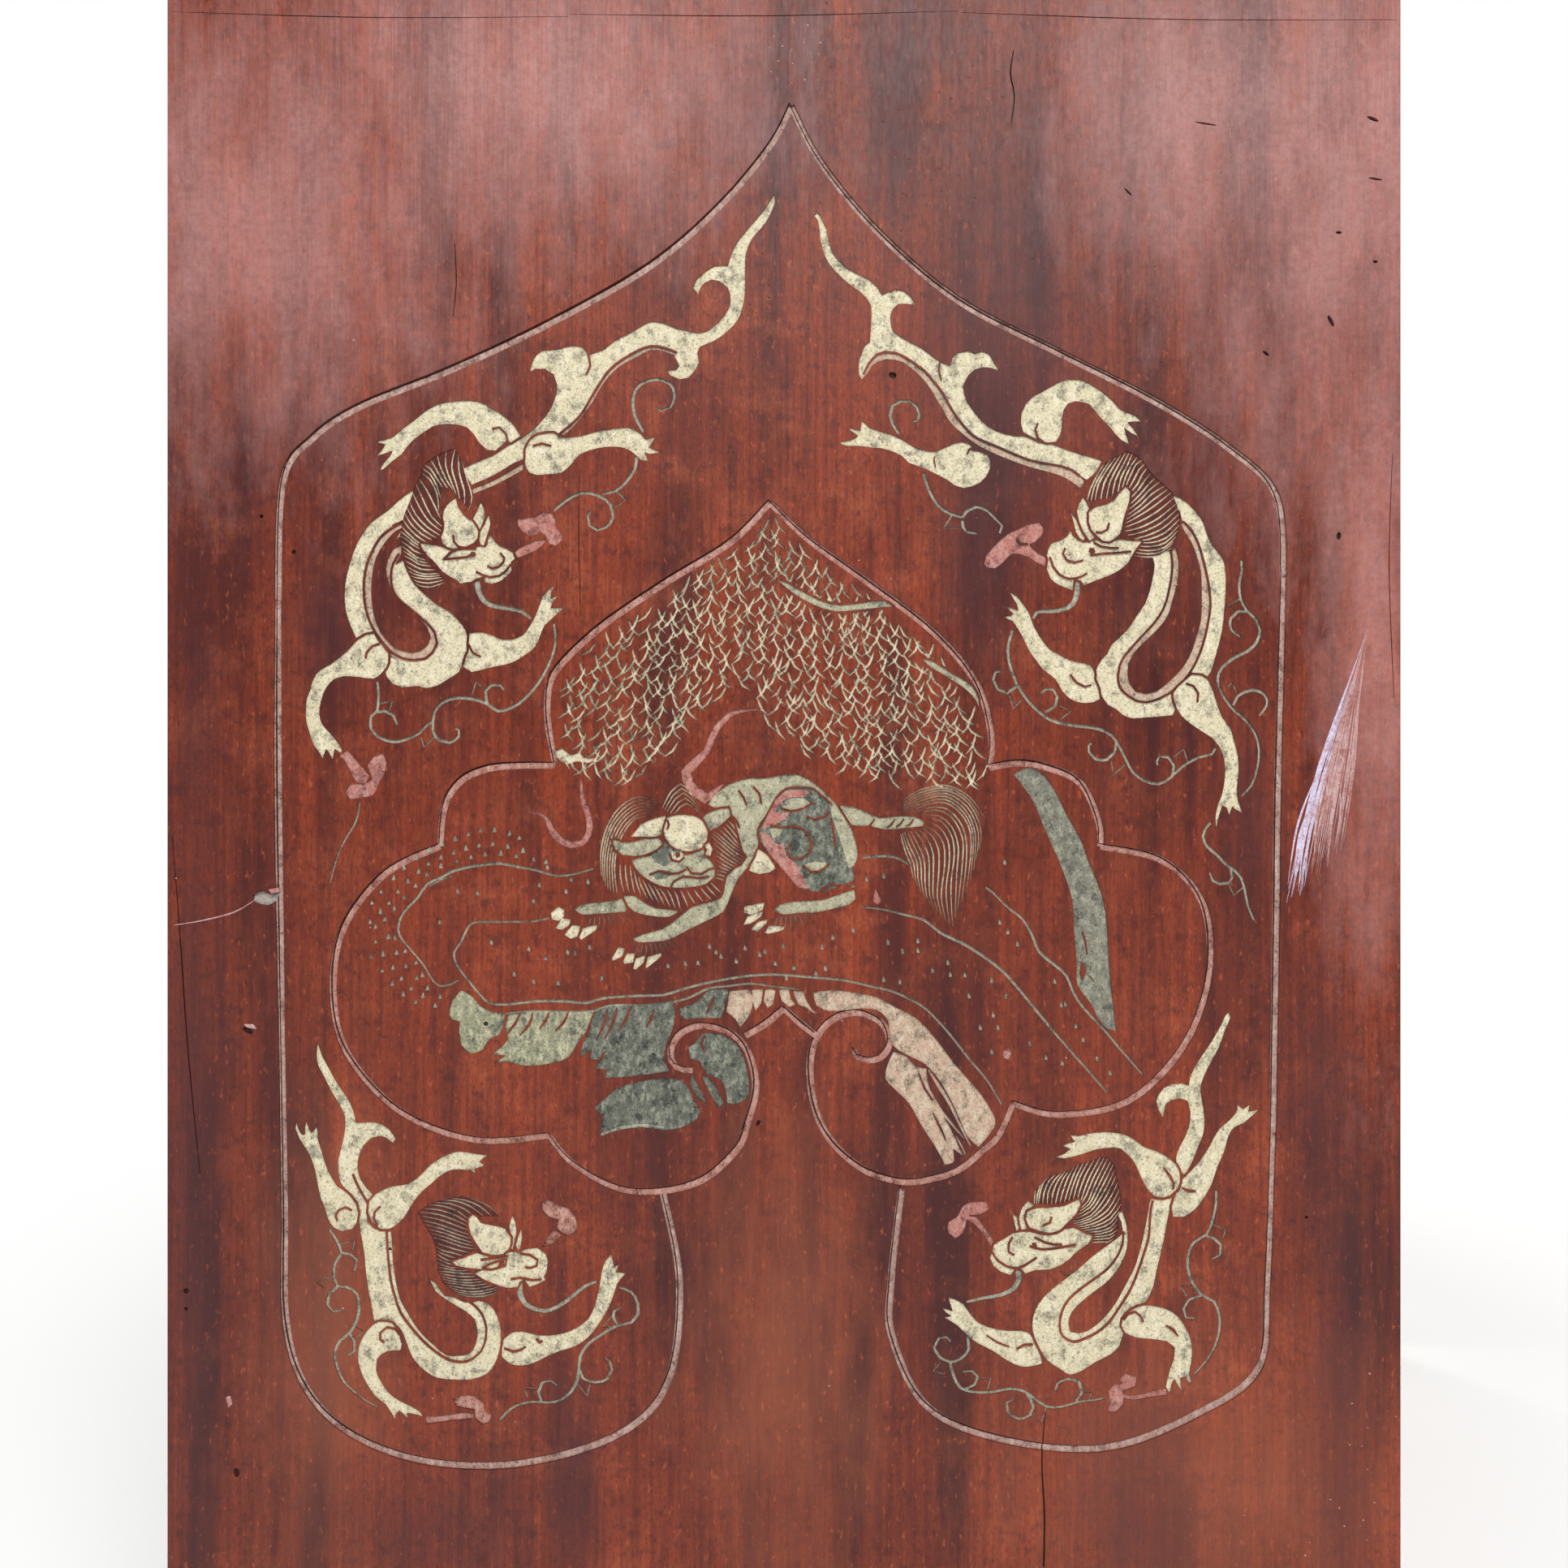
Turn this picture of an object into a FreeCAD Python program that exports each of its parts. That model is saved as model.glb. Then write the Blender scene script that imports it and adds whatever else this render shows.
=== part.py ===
import FreeCAD, Part
import math
import os

# Folding screen of four incised lacquer leaves, joined edge to edge by brass butt hinges.
# Millimetres, +Z up. The screen stands on the floor at z = 0, with the origin under its middle.
# A leaf is made in its own frame: x along its width, y from its front face to its back face,
# z up from the floor. It is then turned and moved to its place in the zigzag.

# Leaves
leaf_count = 4
leaf_width = 456.0
leaf_height = 1898.0
core_thickness = 16.0
face_coat_thickness = 3.0
edge_coat_thickness = 2.0
standing_angle = 56.0

# Boards, cap, battens and bamboo pins inside the lacquer
left_board_width = 150.4
middle_board_width = 170.7
cap_height = 45.0
tongue_thickness = 6.0
tongue_height = 12.0
tongue_clearance = 0.2
batten_width = 50.0
batten_thickness = 7.0
batten_end_distance = 25.0
low_batten_height = 100.0
high_batten_height = 1400.0
bamboo_radius = 2.5
bamboo_length = 40.0
bamboo_clearance = 0.1
bamboo_face_distance = 4.5
bamboo_count = 5

# Feet and the kunmen opening between them
foot_width = 62.0
foot_straight_height = 46.0
bracket_radius = 26.0
cusp_width = 8.0
cusp_drop = 6.0
peak_height = 92.0
arch_bulge = 7.0

# Brass shoes
sole_thickness = 2.0
shoe_wall = 1.2
shoe_corner_height = 24.0
shoe_middle_height = 34.0
shoe_nail_height = 15.0
shoe_nail_shares = (0.27, 0.73)

# Hinges
hinge_height = 84.0
hinge_end_distance = 260.0
plate_width = 17.0
axis_edge_distance = 2.0
axis_face_distance = 4.0
barrel_radius = 4.0
pin_radius = 2.0
pin_clearance = 0.06
pin_tail_length = 3.0
pin_tail_radius = 1.2
knuckle_count = 5
knuckle_gap = 0.3
hinge_nail_depth = 10.0
hinge_nail_shares = (0.12, 0.36, 0.64, 0.88)

# Nails
nail_radius = 0.9
nail_length = 10.0
nail_head_radius = 2.4
nail_head_height = 0.8

# Incised lines on the front, and the pigment laid in them
line_width = 3.3
line_depth = 1.2
pigment_thickness = 0.8
frame_side_margin = 41.0
frame_spacing = 34.0
frame_corner_radius = 14.0
band_height = 92.0
top_margin = 40.0
garden_foot_height = 150.0

# The lines of the garden panel follow the photograph. Pixels of it that tie them to the leaf:
# the leaf's two edges, the crease above the panel, and the level of the panel's lower end.
pixel_leaf_left = 206
pixel_leaf_right = 1726
pixel_crease = 18
pixel_garden_foot = 1938

# Points on each side of an incised line, for each pixel that it is drawn through
side_points_per_pixel = 3

# Outer line of the cartouche, left and right of its tip: shoulder, side and lower scroll
pixel_outer_left = [
    [(975, 130), (949, 179), (887, 253), (801, 327), (678, 397), (555, 455), (444, 500), (385, 539),
     (348, 592), (342, 739)],
    [(342, 739), (342, 966), (346, 1243)],
    [(346, 1243), (350, 1490), (352, 1631), (379, 1715), (437, 1770), (530, 1802), (647, 1803),
     (764, 1767), (823, 1702), (837, 1582), (816, 1468)]]
pixel_outer_right = [
    [(975, 130), (1012, 200), (1083, 286), (1182, 370), (1305, 434), (1422, 493), (1514, 551),
     (1573, 610), (1582, 709)],
    [(1582, 709), (1575, 966), (1573, 1120), (1569, 1397)],
    [(1569, 1397), (1562, 1582), (1551, 1687), (1477, 1742), (1366, 1784), (1243, 1776), (1145, 1736),
     (1100, 1650), (1098, 1582), (1111, 1465)]]

# Inner line of the cartouche: willow arch, lobes and their scrolled ends, left and right
pixel_inner_left = [
    [(949, 619), (900, 668), (819, 718), (739, 773), (687, 823), (675, 853), (675, 893), (684, 943)],
    [(684, 943), (641, 943), (604, 946), (573, 958), (554, 978), (545, 1003), (542, 1043)],
    [(542, 1043), (474, 1077), (422, 1145), (410, 1225), (428, 1299), (493, 1370), (585, 1405), (676, 1400)],
    [(676, 1400), (709, 1437), (776, 1468), (856, 1459), (918, 1400), (929, 1317), (893, 1268),
     (838, 1277), (829, 1317), (850, 1318)],
    [(918, 1277), (943, 1262), (966, 1243)]]
pixel_inner_right = [
    [(949, 619), (997, 665), (1071, 718), (1151, 779), (1203, 841), (1222, 906), (1219, 946)],
    [(1219, 946), (1256, 940), (1293, 946), (1333, 966), (1355, 1015), (1356, 1043)],
    [(1356, 1043), (1434, 1061), (1483, 1114), (1490, 1200), (1459, 1289), (1391, 1357), (1305, 1374),
     (1249, 1360)],
    [(1249, 1360), (1225, 1406), (1151, 1450), (1077, 1447), (1015, 1391), (1000, 1311), (1028, 1259),
     (1083, 1259), (1092, 1302), (1052, 1302)],
    [(1006, 1277), (984, 1259), (966, 1243)]]

# Cuts run past the faces that they open by this much
overrun = 5.0

# Worked out from the sizes above
leaf_thickness = core_thickness + 2 * face_coat_thickness
leaf_bottom = sole_thickness
leaf_top = leaf_bottom + leaf_height
leaf_middle = leaf_width / 2
core_front = face_coat_thickness
core_back = leaf_thickness - face_coat_thickness
cap_bottom = leaf_top - edge_coat_thickness - cap_height
first_seam = edge_coat_thickness + left_board_width
second_seam = first_seam + middle_board_width
artwork_scale = leaf_width / (pixel_leaf_right - pixel_leaf_left)
crease_height = garden_foot_height + (pixel_garden_foot - pixel_crease) * artwork_scale
batten_heights = (low_batten_height, crease_height, high_batten_height)
hinge_heights = (
    leaf_bottom + hinge_end_distance,
    (leaf_bottom + leaf_top) / 2,
    leaf_top - hinge_end_distance)
knuckle_height = (hinge_height - (knuckle_count - 1) * knuckle_gap) / knuckle_count

X = FreeCAD.Vector(1, 0, 0)
Y = FreeCAD.Vector(0, 1, 0)
Z = FreeCAD.Vector(0, 0, 1)
ORIGIN = FreeCAD.Vector(0, 0, 0)


def point(x, z):
    """A point on the front face of a leaf."""
    return FreeCAD.Vector(x, 0, z)


def line(start, end):
    return Part.LineSegment(start, end).toShape()


def arc(start, through, end):
    return Part.Arc(start, through, end).toShape()


def smooth_curve(places):
    curve = Part.BSplineCurve()
    curve.interpolate(places)
    return curve


def box(x_range, y_range, z_range):
    corner = FreeCAD.Vector(x_range[0], y_range[0], z_range[0])
    sizes = (x_range[1] - x_range[0], y_range[1] - y_range[0], z_range[1] - z_range[0])
    return Part.makeBox(*sizes, corner)


def thicken(face, front, back):
    """A face in the plane of the leaf's front, made a plate that reaches from front to back."""
    plate = face.extrude(Y * (back - front))
    plate.translate(Y * front)
    return plate


def mirror_sideways(shape):
    return shape.mirror(point(leaf_middle, 0), X)


def export(name, shapes):
    solids = [solid for shape in shapes for solid in shape.Solids]
    shape = solids[0] if len(solids) == 1 else Part.makeCompound(solids)
    shape.exportStep(os.path.join("parts", name + ".step"))


def half_opening():
    """Left half of the kunmen opening: foot, bracket, cusp and the arch up to its middle."""
    corner = foot_width + bracket_radius
    brow = foot_straight_height + bracket_radius
    diagonal = bracket_radius * math.sqrt(0.5)
    cusp = point(corner + cusp_width, brow - cusp_drop)
    peak = point(leaf_middle, peak_height)
    return [
        line(point(foot_width, leaf_bottom), point(foot_width, foot_straight_height)),
        arc(point(foot_width, foot_straight_height),
            point(corner - diagonal, foot_straight_height + diagonal),
            point(corner, brow)),
        line(point(corner, brow), cusp),
        arc(cusp, (cusp + peak) * 0.5 + Z * arch_bulge, peak)]


def leaf_outline():
    """Outline of the lacquered leaf, with its two feet."""
    left = half_opening()
    right = [mirror_sideways(edge) for edge in left]
    sides = [
        line(point(0, leaf_bottom), point(foot_width, leaf_bottom)),
        line(point(leaf_width - foot_width, leaf_bottom), point(leaf_width, leaf_bottom)),
        line(point(leaf_width, leaf_bottom), point(leaf_width, leaf_top)),
        line(point(leaf_width, leaf_top), point(0, leaf_top)),
        line(point(0, leaf_top), point(0, leaf_bottom))]
    return Part.Wire(Part.__sortEdges__(left + right + sides))


def core_outline():
    """The boards end one edge coat inside the outline of the leaf."""
    return leaf_outline().makeOffset2D(-edge_coat_thickness, 2)


def hinge_face(index):
    """Face that the hinge before leaf number index lies on: the hinges alternate, back first."""
    return "back" if index % 2 == 1 else "front"


def leaf_hinges(index):
    """Edge and face of each hinge line of a leaf. A screen's end leaves have one line each."""
    hinges = []
    if index > 0:
        hinges.append(("left", hinge_face(index)))
    if index < leaf_count - 1:
        hinges.append(("right", hinge_face(index + 1)))
    return hinges


def hinge_axis(edge, face):
    """Where a hinge line stands in a leaf's own frame."""
    x = leaf_width + axis_edge_distance if edge == "right" else -axis_edge_distance
    y = leaf_thickness + axis_face_distance if face == "back" else -axis_face_distance
    return FreeCAD.Vector(x, y, 0)


def at_hinge(shape, edge, face):
    """Put a shape made for the right edge and the back face at another edge or face."""
    turned = shape.mirror(ORIGIN, X) if edge == "left" else shape.copy()
    turned = turned.mirror(ORIGIN, Y) if face == "front" else turned
    turned.translate(hinge_axis(edge, face))
    return turned


def plate_blank(height):
    """Brass plate let into the edge of a leaf. Its inner side and the hinge axis face each other."""
    outer = -axis_edge_distance
    face = -axis_face_distance
    bottom = height - hinge_height / 2
    return box(
        (outer - edge_coat_thickness, outer),
        (face - plate_width, face),
        (bottom, bottom + hinge_height))


def knuckle(height, number):
    """One knuckle with the web that ties it to its plate."""
    bottom = height - hinge_height / 2 + number * (knuckle_height + knuckle_gap)
    outer = -axis_edge_distance
    web = box(
        (outer - edge_coat_thickness, outer),
        (-axis_face_distance, 0),
        (bottom, bottom + knuckle_height))
    barrel = Part.makeCylinder(barrel_radius, knuckle_height, Z * bottom)
    bore = Part.makeCylinder(pin_radius + pin_clearance, knuckle_height, Z * bottom)
    return web.fuse(barrel).cut(bore)


def hinge_nail_spots(height):
    """Places of the nails of one plate, on the side of the plate that faces the next leaf."""
    bottom = height - hinge_height / 2
    depth = -axis_face_distance - hinge_nail_depth
    return [
        FreeCAD.Vector(-axis_edge_distance, depth, bottom + hinge_height * share)
        for share in hinge_nail_shares]


def hinge_plate(height, first_knuckle):
    """A plate with every second knuckle of the barrel, and holes for its nails."""
    plate = plate_blank(height)
    for number in range(first_knuckle, knuckle_count, 2):
        plate = plate.fuse(knuckle(height, number))
    holes = [nail_hole(spot, X) for spot in hinge_nail_spots(height)]
    return plate.removeSplitter().cut(holes)


def hinge_pin(height):
    """Loose pin with a ball head that rests on the barrel, and a tapered tail below it."""
    bottom = height - hinge_height / 2
    top = height + hinge_height / 2
    shaft = Part.makeCylinder(pin_radius, hinge_height, Z * bottom)
    head = Part.makeSphere(barrel_radius, Z * top, Z, 0, 90, 360)
    tail = Part.makeCone(pin_tail_radius, pin_radius, pin_tail_length, Z * (bottom - pin_tail_length))
    return shaft.fuse([head, tail]).removeSplitter()


def nail(spot, outward):
    """Brass nail with a domed head. The spot is under the head, on the face that it is driven into."""
    shank = Part.makeCylinder(nail_radius, nail_length, ORIGIN, -Z)
    dome = (nail_head_radius ** 2 + nail_head_height ** 2) / (2 * nail_head_height)
    ball = Part.makeSphere(dome, Z * (nail_head_height - dome))
    head = ball.common(Part.makeCylinder(nail_head_radius, nail_head_height, ORIGIN, Z))
    shape = shank.fuse(head).removeSplitter()
    shape.Placement = FreeCAD.Placement(spot, FreeCAD.Rotation(Z, outward))
    return shape


def nail_hole(spot, outward):
    return Part.makeCylinder(nail_radius, nail_length, spot, outward * -1)


def shoe_nail_spots():
    """Places and directions of the shoe nails: two on the front and two on the back of each foot."""
    spots = []
    for foot_left in (0, leaf_width - foot_width):
        for share in shoe_nail_shares:
            x = foot_left + foot_width * share
            z = leaf_bottom + shoe_nail_height
            spots.append((FreeCAD.Vector(x, -shoe_wall, z), -Y))
            spots.append((FreeCAD.Vector(x, leaf_thickness + shoe_wall, z), Y))
    return spots


def leaf_nail_spots(index):
    """Places and directions of every nail of a leaf, in the leaf's own frame."""
    spots = shoe_nail_spots()
    for edge, face in leaf_hinges(index):
        outward = X if edge == "right" else -X
        for height in hinge_heights:
            for spot in hinge_nail_spots(height):
                x = spot.x if edge == "right" else -spot.x
                y = spot.y if face == "back" else -spot.y
                spots.append((FreeCAD.Vector(x, y, spot.z) + hinge_axis(edge, face), outward))
    return spots


def shoe(foot_left):
    """Brass shoe: a sole under the foot and a wall round it, with an ogee top edge."""
    left = foot_left - shoe_wall
    right = foot_left + foot_width + shoe_wall
    middle = (left + right) / 2
    quarter = (middle - left) / 2
    level = (shoe_corner_height + shoe_middle_height) / 2
    sag = (shoe_middle_height - shoe_corner_height) / 4
    edges = [
        line(point(left, shoe_corner_height), point(left, 0)),
        line(point(left, 0), point(right, 0)),
        line(point(right, 0), point(right, shoe_corner_height)),
        arc(point(left, shoe_corner_height),
            point(left + quarter, level - sag),
            point(middle, shoe_middle_height)),
        arc(point(middle, shoe_middle_height),
            point(right - quarter, level - sag),
            point(right, shoe_corner_height))]
    face = Part.Face(Part.Wire(Part.__sortEdges__(edges)))
    block = thicken(face, -shoe_wall, leaf_thickness + shoe_wall)
    foot = box(
        (foot_left, foot_left + foot_width),
        (0, leaf_thickness),
        (leaf_bottom, shoe_middle_height + overrun))
    return block.cut(foot)


def shoes():
    holes = [nail_hole(spot, outward) for spot, outward in shoe_nail_spots()]
    return [shoe(left).cut(holes) for left in (0, leaf_width - foot_width)]


def battens():
    """Flat battens glued into the back of the boards, across their grain, to keep them level."""
    return [
        box((batten_end_distance, leaf_width - batten_end_distance),
            (core_back - batten_thickness, core_back),
            (height, height + batten_width))
        for height in batten_heights]


def bamboo_pins(clearance):
    """Bamboo pins that hold the boards edge to edge across their two seams."""
    lowest = peak_height
    pitch = (cap_bottom - lowest) / bamboo_count
    depth = core_front + bamboo_face_distance
    length = bamboo_length + 2 * clearance
    pins = []
    for seam in (first_seam, second_seam):
        for number in range(bamboo_count):
            start = FreeCAD.Vector(seam - length / 2, depth, lowest + pitch * (number + 0.5))
            pins.append(Part.makeCylinder(bamboo_radius + clearance, length, start, X))
    return pins


def tongue(clearance):
    """Tongue along the top of the boards, or the groove for it in the cap."""
    middle = leaf_thickness / 2
    half = tongue_thickness / 2 + clearance
    return box(
        (edge_coat_thickness, leaf_width - edge_coat_thickness),
        (middle - half, middle + half),
        (cap_bottom - clearance, cap_bottom + tongue_height + clearance))


def boards(index):
    """Left, middle and right board of a leaf. The outer two run down into the feet."""
    core = thicken(Part.Face(core_outline()), core_front, core_back)
    below_cap = box((0, leaf_width), (0, leaf_thickness), (0, cap_bottom))
    panel = core.common(below_cap).fuse(tongue(0)).removeSplitter()
    nails = [nail_hole(spot, outward) for spot, outward in leaf_nail_spots(index)]
    panel = panel.cut(battens() + bamboo_pins(bamboo_clearance) + nails)
    seams = (0, first_seam, second_seam, leaf_width)
    return [
        panel.common(box((left, right), (0, leaf_thickness), (0, leaf_top)))
        for left, right in zip(seams, seams[1:])]


def top_cap():
    """Cap across the top of the boards, grooved for their tongue."""
    core = thicken(Part.Face(core_outline()), core_front, core_back)
    above = box((0, leaf_width), (0, leaf_thickness), (cap_bottom, leaf_top))
    return core.common(above).cut(tongue(tongue_clearance))


def pixel_line(pixels):
    """A smooth incised line through pixels of the photograph, with round ends."""
    places = []
    for column, row in pixels:
        x = (column - pixel_leaf_left) * artwork_scale
        z = garden_foot_height + (pixel_garden_foot - row) * artwork_scale
        places.append(point(x, z))
    middle = smooth_curve(places)
    start = middle.FirstParameter
    end = middle.LastParameter
    steps = side_points_per_pixel * len(pixels)
    left_side = []
    right_side = []
    for step in range(steps + 1):
        parameter = start + (end - start) * step / steps
        place = middle.value(parameter)
        aside = Y.cross(middle.tangent(parameter)[0]) * (line_width / 2)
        left_side.append(place - aside)
        right_side.append(place + aside)
    far_end = middle.value(end) + middle.tangent(end)[0] * (line_width / 2)
    near_end = middle.value(start) - middle.tangent(start)[0] * (line_width / 2)
    return Part.Face(Part.Wire([
        smooth_curve(left_side).toShape(),
        arc(left_side[-1], far_end, right_side[-1]),
        smooth_curve(right_side[::-1]).toShape(),
        arc(right_side[0], near_end, left_side[0])]))


def frame_line(bottom, top):
    """An incised frame across the leaf, with its corners drawn in."""
    left = frame_side_margin
    right = leaf_width - frame_side_margin
    radius = frame_corner_radius
    diagonal = radius * math.sqrt(0.5)
    edges = []
    for x, inward in ((left, 1), (right, -1)):
        for z, upward in ((bottom, 1), (top, -1)):
            edges.append(arc(
                point(x + inward * radius, z),
                point(x + inward * diagonal, z + upward * diagonal),
                point(x, z + upward * radius)))
    for x in (left, right):
        edges.append(line(point(x, bottom + radius), point(x, top - radius)))
    for z in (bottom, top):
        edges.append(line(point(left + radius, z), point(right - radius, z)))
    wire = Part.Wire(Part.__sortEdges__(edges))
    outside = Part.Face(wire.makeOffset2D(line_width / 2, 2))
    inside = Part.Face(wire.makeOffset2D(-line_width / 2, 2))
    return outside.cut(inside)


def incised_lines():
    """All lines of a front: the cartouche of the garden panel, and three plain frames above it."""
    spans = pixel_outer_left + pixel_outer_right + pixel_inner_left + pixel_inner_right
    cartouche = [pixel_line(span) for span in spans]
    waist_bottom = crease_height + frame_spacing
    field_bottom = waist_bottom + band_height + frame_spacing
    band_bottom = leaf_top - top_margin - band_height
    return cartouche[0].fuse(cartouche[1:]).removeSplitter().Faces + [
        frame_line(waist_bottom, waist_bottom + band_height),
        frame_line(field_bottom, band_bottom - frame_spacing),
        frame_line(band_bottom, band_bottom + band_height)]


def edge_coat():
    """Lacquer round the edge of the boards, between the coats of the two faces."""
    ring = Part.Face(leaf_outline()).cut(Part.Face(core_outline()))
    return thicken(ring, core_front, core_back)


def hinge_pockets(index):
    return [
        at_hinge(plate_blank(height), edge, face)
        for edge, face in leaf_hinges(index)
        for height in hinge_heights]


def make_leaf(index, front_coat, inlay):
    """Every piece of one leaf, in the leaf's own frame, by the name of its node."""
    nails = leaf_nail_spots(index)
    openings = hinge_pockets(index) + [nail_hole(spot, outward) for spot, outward in nails]
    face = Part.Face(leaf_outline())
    back_coat = thicken(face, core_back, leaf_thickness)
    left_board, middle_board, right_board = boards(index)
    pieces = {
        "left_board": [left_board],
        "middle_board": [middle_board],
        "right_board": [right_board],
        "top_cap": [top_cap()],
        "back_battens": battens(),
        "bamboo_pins": bamboo_pins(0),
        "edge_coat": [edge_coat().cut(openings)],
        "front_coat": [front_coat.cut(openings)],
        "back_coat": [back_coat.cut(openings)],
        "line_inlay": inlay,
        "shoes": shoes(),
        "brass_nails": [nail(spot, outward) for spot, outward in nails]}
    return pieces


def make_hinges(index):
    """The hinges between leaf number index and the one before it, each piece in its leaf's frame."""
    face = hinge_face(index)
    return {
        "left_plates": [at_hinge(hinge_plate(height, 0), "right", face) for height in hinge_heights],
        "right_plates": [at_hinge(hinge_plate(height, 1), "left", face) for height in hinge_heights],
        "pins": [at_hinge(hinge_pin(height), "right", face) for height in hinge_heights]}


def leaf_placements():
    """Places of the leaves as the screen stands, in a zigzag about the origin."""
    turn = (180.0 - standing_angle) / 2
    placements = []
    for index in range(leaf_count):
        rotation = FreeCAD.Rotation(Z, -turn if index % 2 == 0 else turn)
        origin = ORIGIN
        if index > 0:
            line_before = placements[-1].multVec(hinge_axis("right", hinge_face(index)))
            origin = line_before - rotation.multVec(hinge_axis("left", hinge_face(index)))
        placements.append(FreeCAD.Placement(origin, rotation))
    centre = FreeCAD.Vector(leaf_middle, leaf_thickness / 2, 0)
    middle = ORIGIN
    for placement in placements:
        middle = middle + placement.multVec(centre) * (1 / leaf_count)
    for placement in placements:
        placement.Base = placement.Base - middle
    return placements


def placed(shapes, placement):
    """Copies of the shapes, moved from a leaf's own frame to the leaf's place."""
    copies = [shape.copy() for shape in shapes]
    for copy in copies:
        copy.Placement = placement.multiply(copy.Placement)
    return copies


def main():
    os.makedirs("parts", exist_ok=True)
    placements = leaf_placements()
    lines = incised_lines()
    plain_coat = thicken(Part.Face(leaf_outline()), 0, core_front)
    front_coat = plain_coat.cut([thicken(face, -overrun, line_depth) for face in lines])
    inlay = [thicken(face, line_depth - pigment_thickness, line_depth) for face in lines]
    for index, placement in enumerate(placements):
        if index % 2 == 0:
            pieces = make_leaf(index, front_coat, inlay)
        else:
            mirrored_inlay = [mirror_sideways(solid) for solid in inlay]
            pieces = make_leaf(index, mirror_sideways(front_coat), mirrored_inlay)
        for name, shapes in pieces.items():
            export("leaf_%d_%s" % (index + 1, name), placed(shapes, placement))
    for index in range(1, leaf_count):
        hinges = make_hinges(index)
        for name, shapes in hinges.items():
            leaf = index if name == "right_plates" else index - 1
            export("hinge_%d_%d_%s" % (index, index + 1, name), placed(shapes, placements[leaf]))
        axis = placements[index - 1].multVec(hinge_axis("right", hinge_face(index)))
        print("hinge %d to %d stands at x %.3f y %.3f" % (index, index + 1, axis.x, axis.y))


main()
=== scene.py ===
import math

import bpy
import numpy
from mathutils import Matrix, Vector, geometry


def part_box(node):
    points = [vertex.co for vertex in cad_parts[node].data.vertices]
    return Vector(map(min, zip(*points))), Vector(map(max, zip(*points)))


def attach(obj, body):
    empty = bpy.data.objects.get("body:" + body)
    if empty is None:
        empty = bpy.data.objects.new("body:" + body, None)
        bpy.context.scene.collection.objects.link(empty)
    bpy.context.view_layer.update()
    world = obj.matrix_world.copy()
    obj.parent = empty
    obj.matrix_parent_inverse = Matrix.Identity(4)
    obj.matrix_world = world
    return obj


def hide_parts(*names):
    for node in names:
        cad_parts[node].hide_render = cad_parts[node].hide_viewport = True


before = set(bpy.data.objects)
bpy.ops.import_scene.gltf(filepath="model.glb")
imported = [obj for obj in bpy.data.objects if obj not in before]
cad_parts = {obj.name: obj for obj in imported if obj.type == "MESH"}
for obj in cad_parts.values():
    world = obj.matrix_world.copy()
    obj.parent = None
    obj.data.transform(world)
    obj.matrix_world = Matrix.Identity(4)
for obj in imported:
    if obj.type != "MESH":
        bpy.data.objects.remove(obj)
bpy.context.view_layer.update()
bpy.ops.object.select_all(action="DESELECT")

# Boards, caps, battens and bamboo pins.
# Each leaf is planed softwood boards, edge to edge on bamboo pins, with battens glued into the
# back and a cap on top. All of it lies under the lacquer, and shows only if a leaf is opened up.

BOARD_PALE = (0.36, 0.22, 0.11, 1.0)
BOARD_DARK = (0.2, 0.1, 0.045, 1.0)
BATTEN_PALE = (0.3, 0.17, 0.085, 1.0)
BATTEN_DARK = (0.15, 0.075, 0.035, 1.0)
BAMBOO_PALE = (0.52, 0.38, 0.17, 1.0)
BAMBOO_DARK = (0.33, 0.22, 0.09, 1.0)
BOARD_RINGS = 60.0
BATTEN_RINGS = 80.0
BAMBOO_RINGS = 300.0
RING_SQUEEZE = 0.05
FIBRE_SQUEEZE = 0.02
FIBRES_PER_RING = 9
LEAVES = (1, 2, 3, 4)


def add_node(tree, kind, inputs=None, **settings):
    """Add a shader node, and set or link its inputs by name or number."""
    node = tree.nodes.new(kind)
    for name, value in settings.items():
        setattr(node, name, value)
    for name, value in (inputs or {}).items():
        if isinstance(value, bpy.types.NodeSocket):
            tree.links.new(value, node.inputs[name])
        else:
            node.inputs[name].default_value = value
    return node


def blended(tree, amount, first, second, kind="MIX"):
    """Two colours mixed by an amount, as a socket."""
    inputs = {0: amount, 6: first, 7: second}
    return add_node(tree, "ShaderNodeMix", inputs, data_type="RGBA", blend_type=kind).outputs[2]


def ranged(tree, value, low, high, low_out=0.0, high_out=1.0):
    """A value's stretch from low to high made the stretch from low_out to high_out, as a socket."""
    inputs = {"Value": value, "From Min": low, "From Max": high, "To Min": low_out, "To Max": high_out}
    return add_node(tree, "ShaderNodeMapRange", inputs).outputs["Result"]


def sum_of(tree, kind, first, second):
    """The result of one kind of sum on two values, as a socket."""
    return add_node(tree, "ShaderNodeMath", {0: first, 1: second}, operation=kind).outputs[0]


def stretched(tree, vector, scale):
    """A position with each of its axes multiplied, as a socket."""
    return add_node(tree, "ShaderNodeVectorMath", {0: vector, 1: scale}, operation="MULTIPLY").outputs[0]


def cloud(tree, vector, scale, detail=4.0, roughness=0.5):
    """Noise at a position, as a socket from 0 to 1."""
    inputs = {"Vector": vector, "Scale": scale, "Detail": detail, "Roughness": roughness}
    return add_node(tree, "ShaderNodeTexNoise", inputs).outputs["Fac"]


def upright(tree, place, squeeze, scale, detail=4.0, roughness=0.5):
    """Noise that is drawn out upright, the more the smaller its squeeze, as a socket from 0 to 1."""
    return cloud(tree, stretched(tree, place, (1.0, 1.0, squeeze)), scale, detail, roughness)


def new_material(name):
    """A new material, its node tree and its main shader."""
    material = bpy.data.materials.new(name)
    material.use_nodes = True
    return material, material.node_tree, material.node_tree.nodes["Principled BSDF"]


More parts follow.
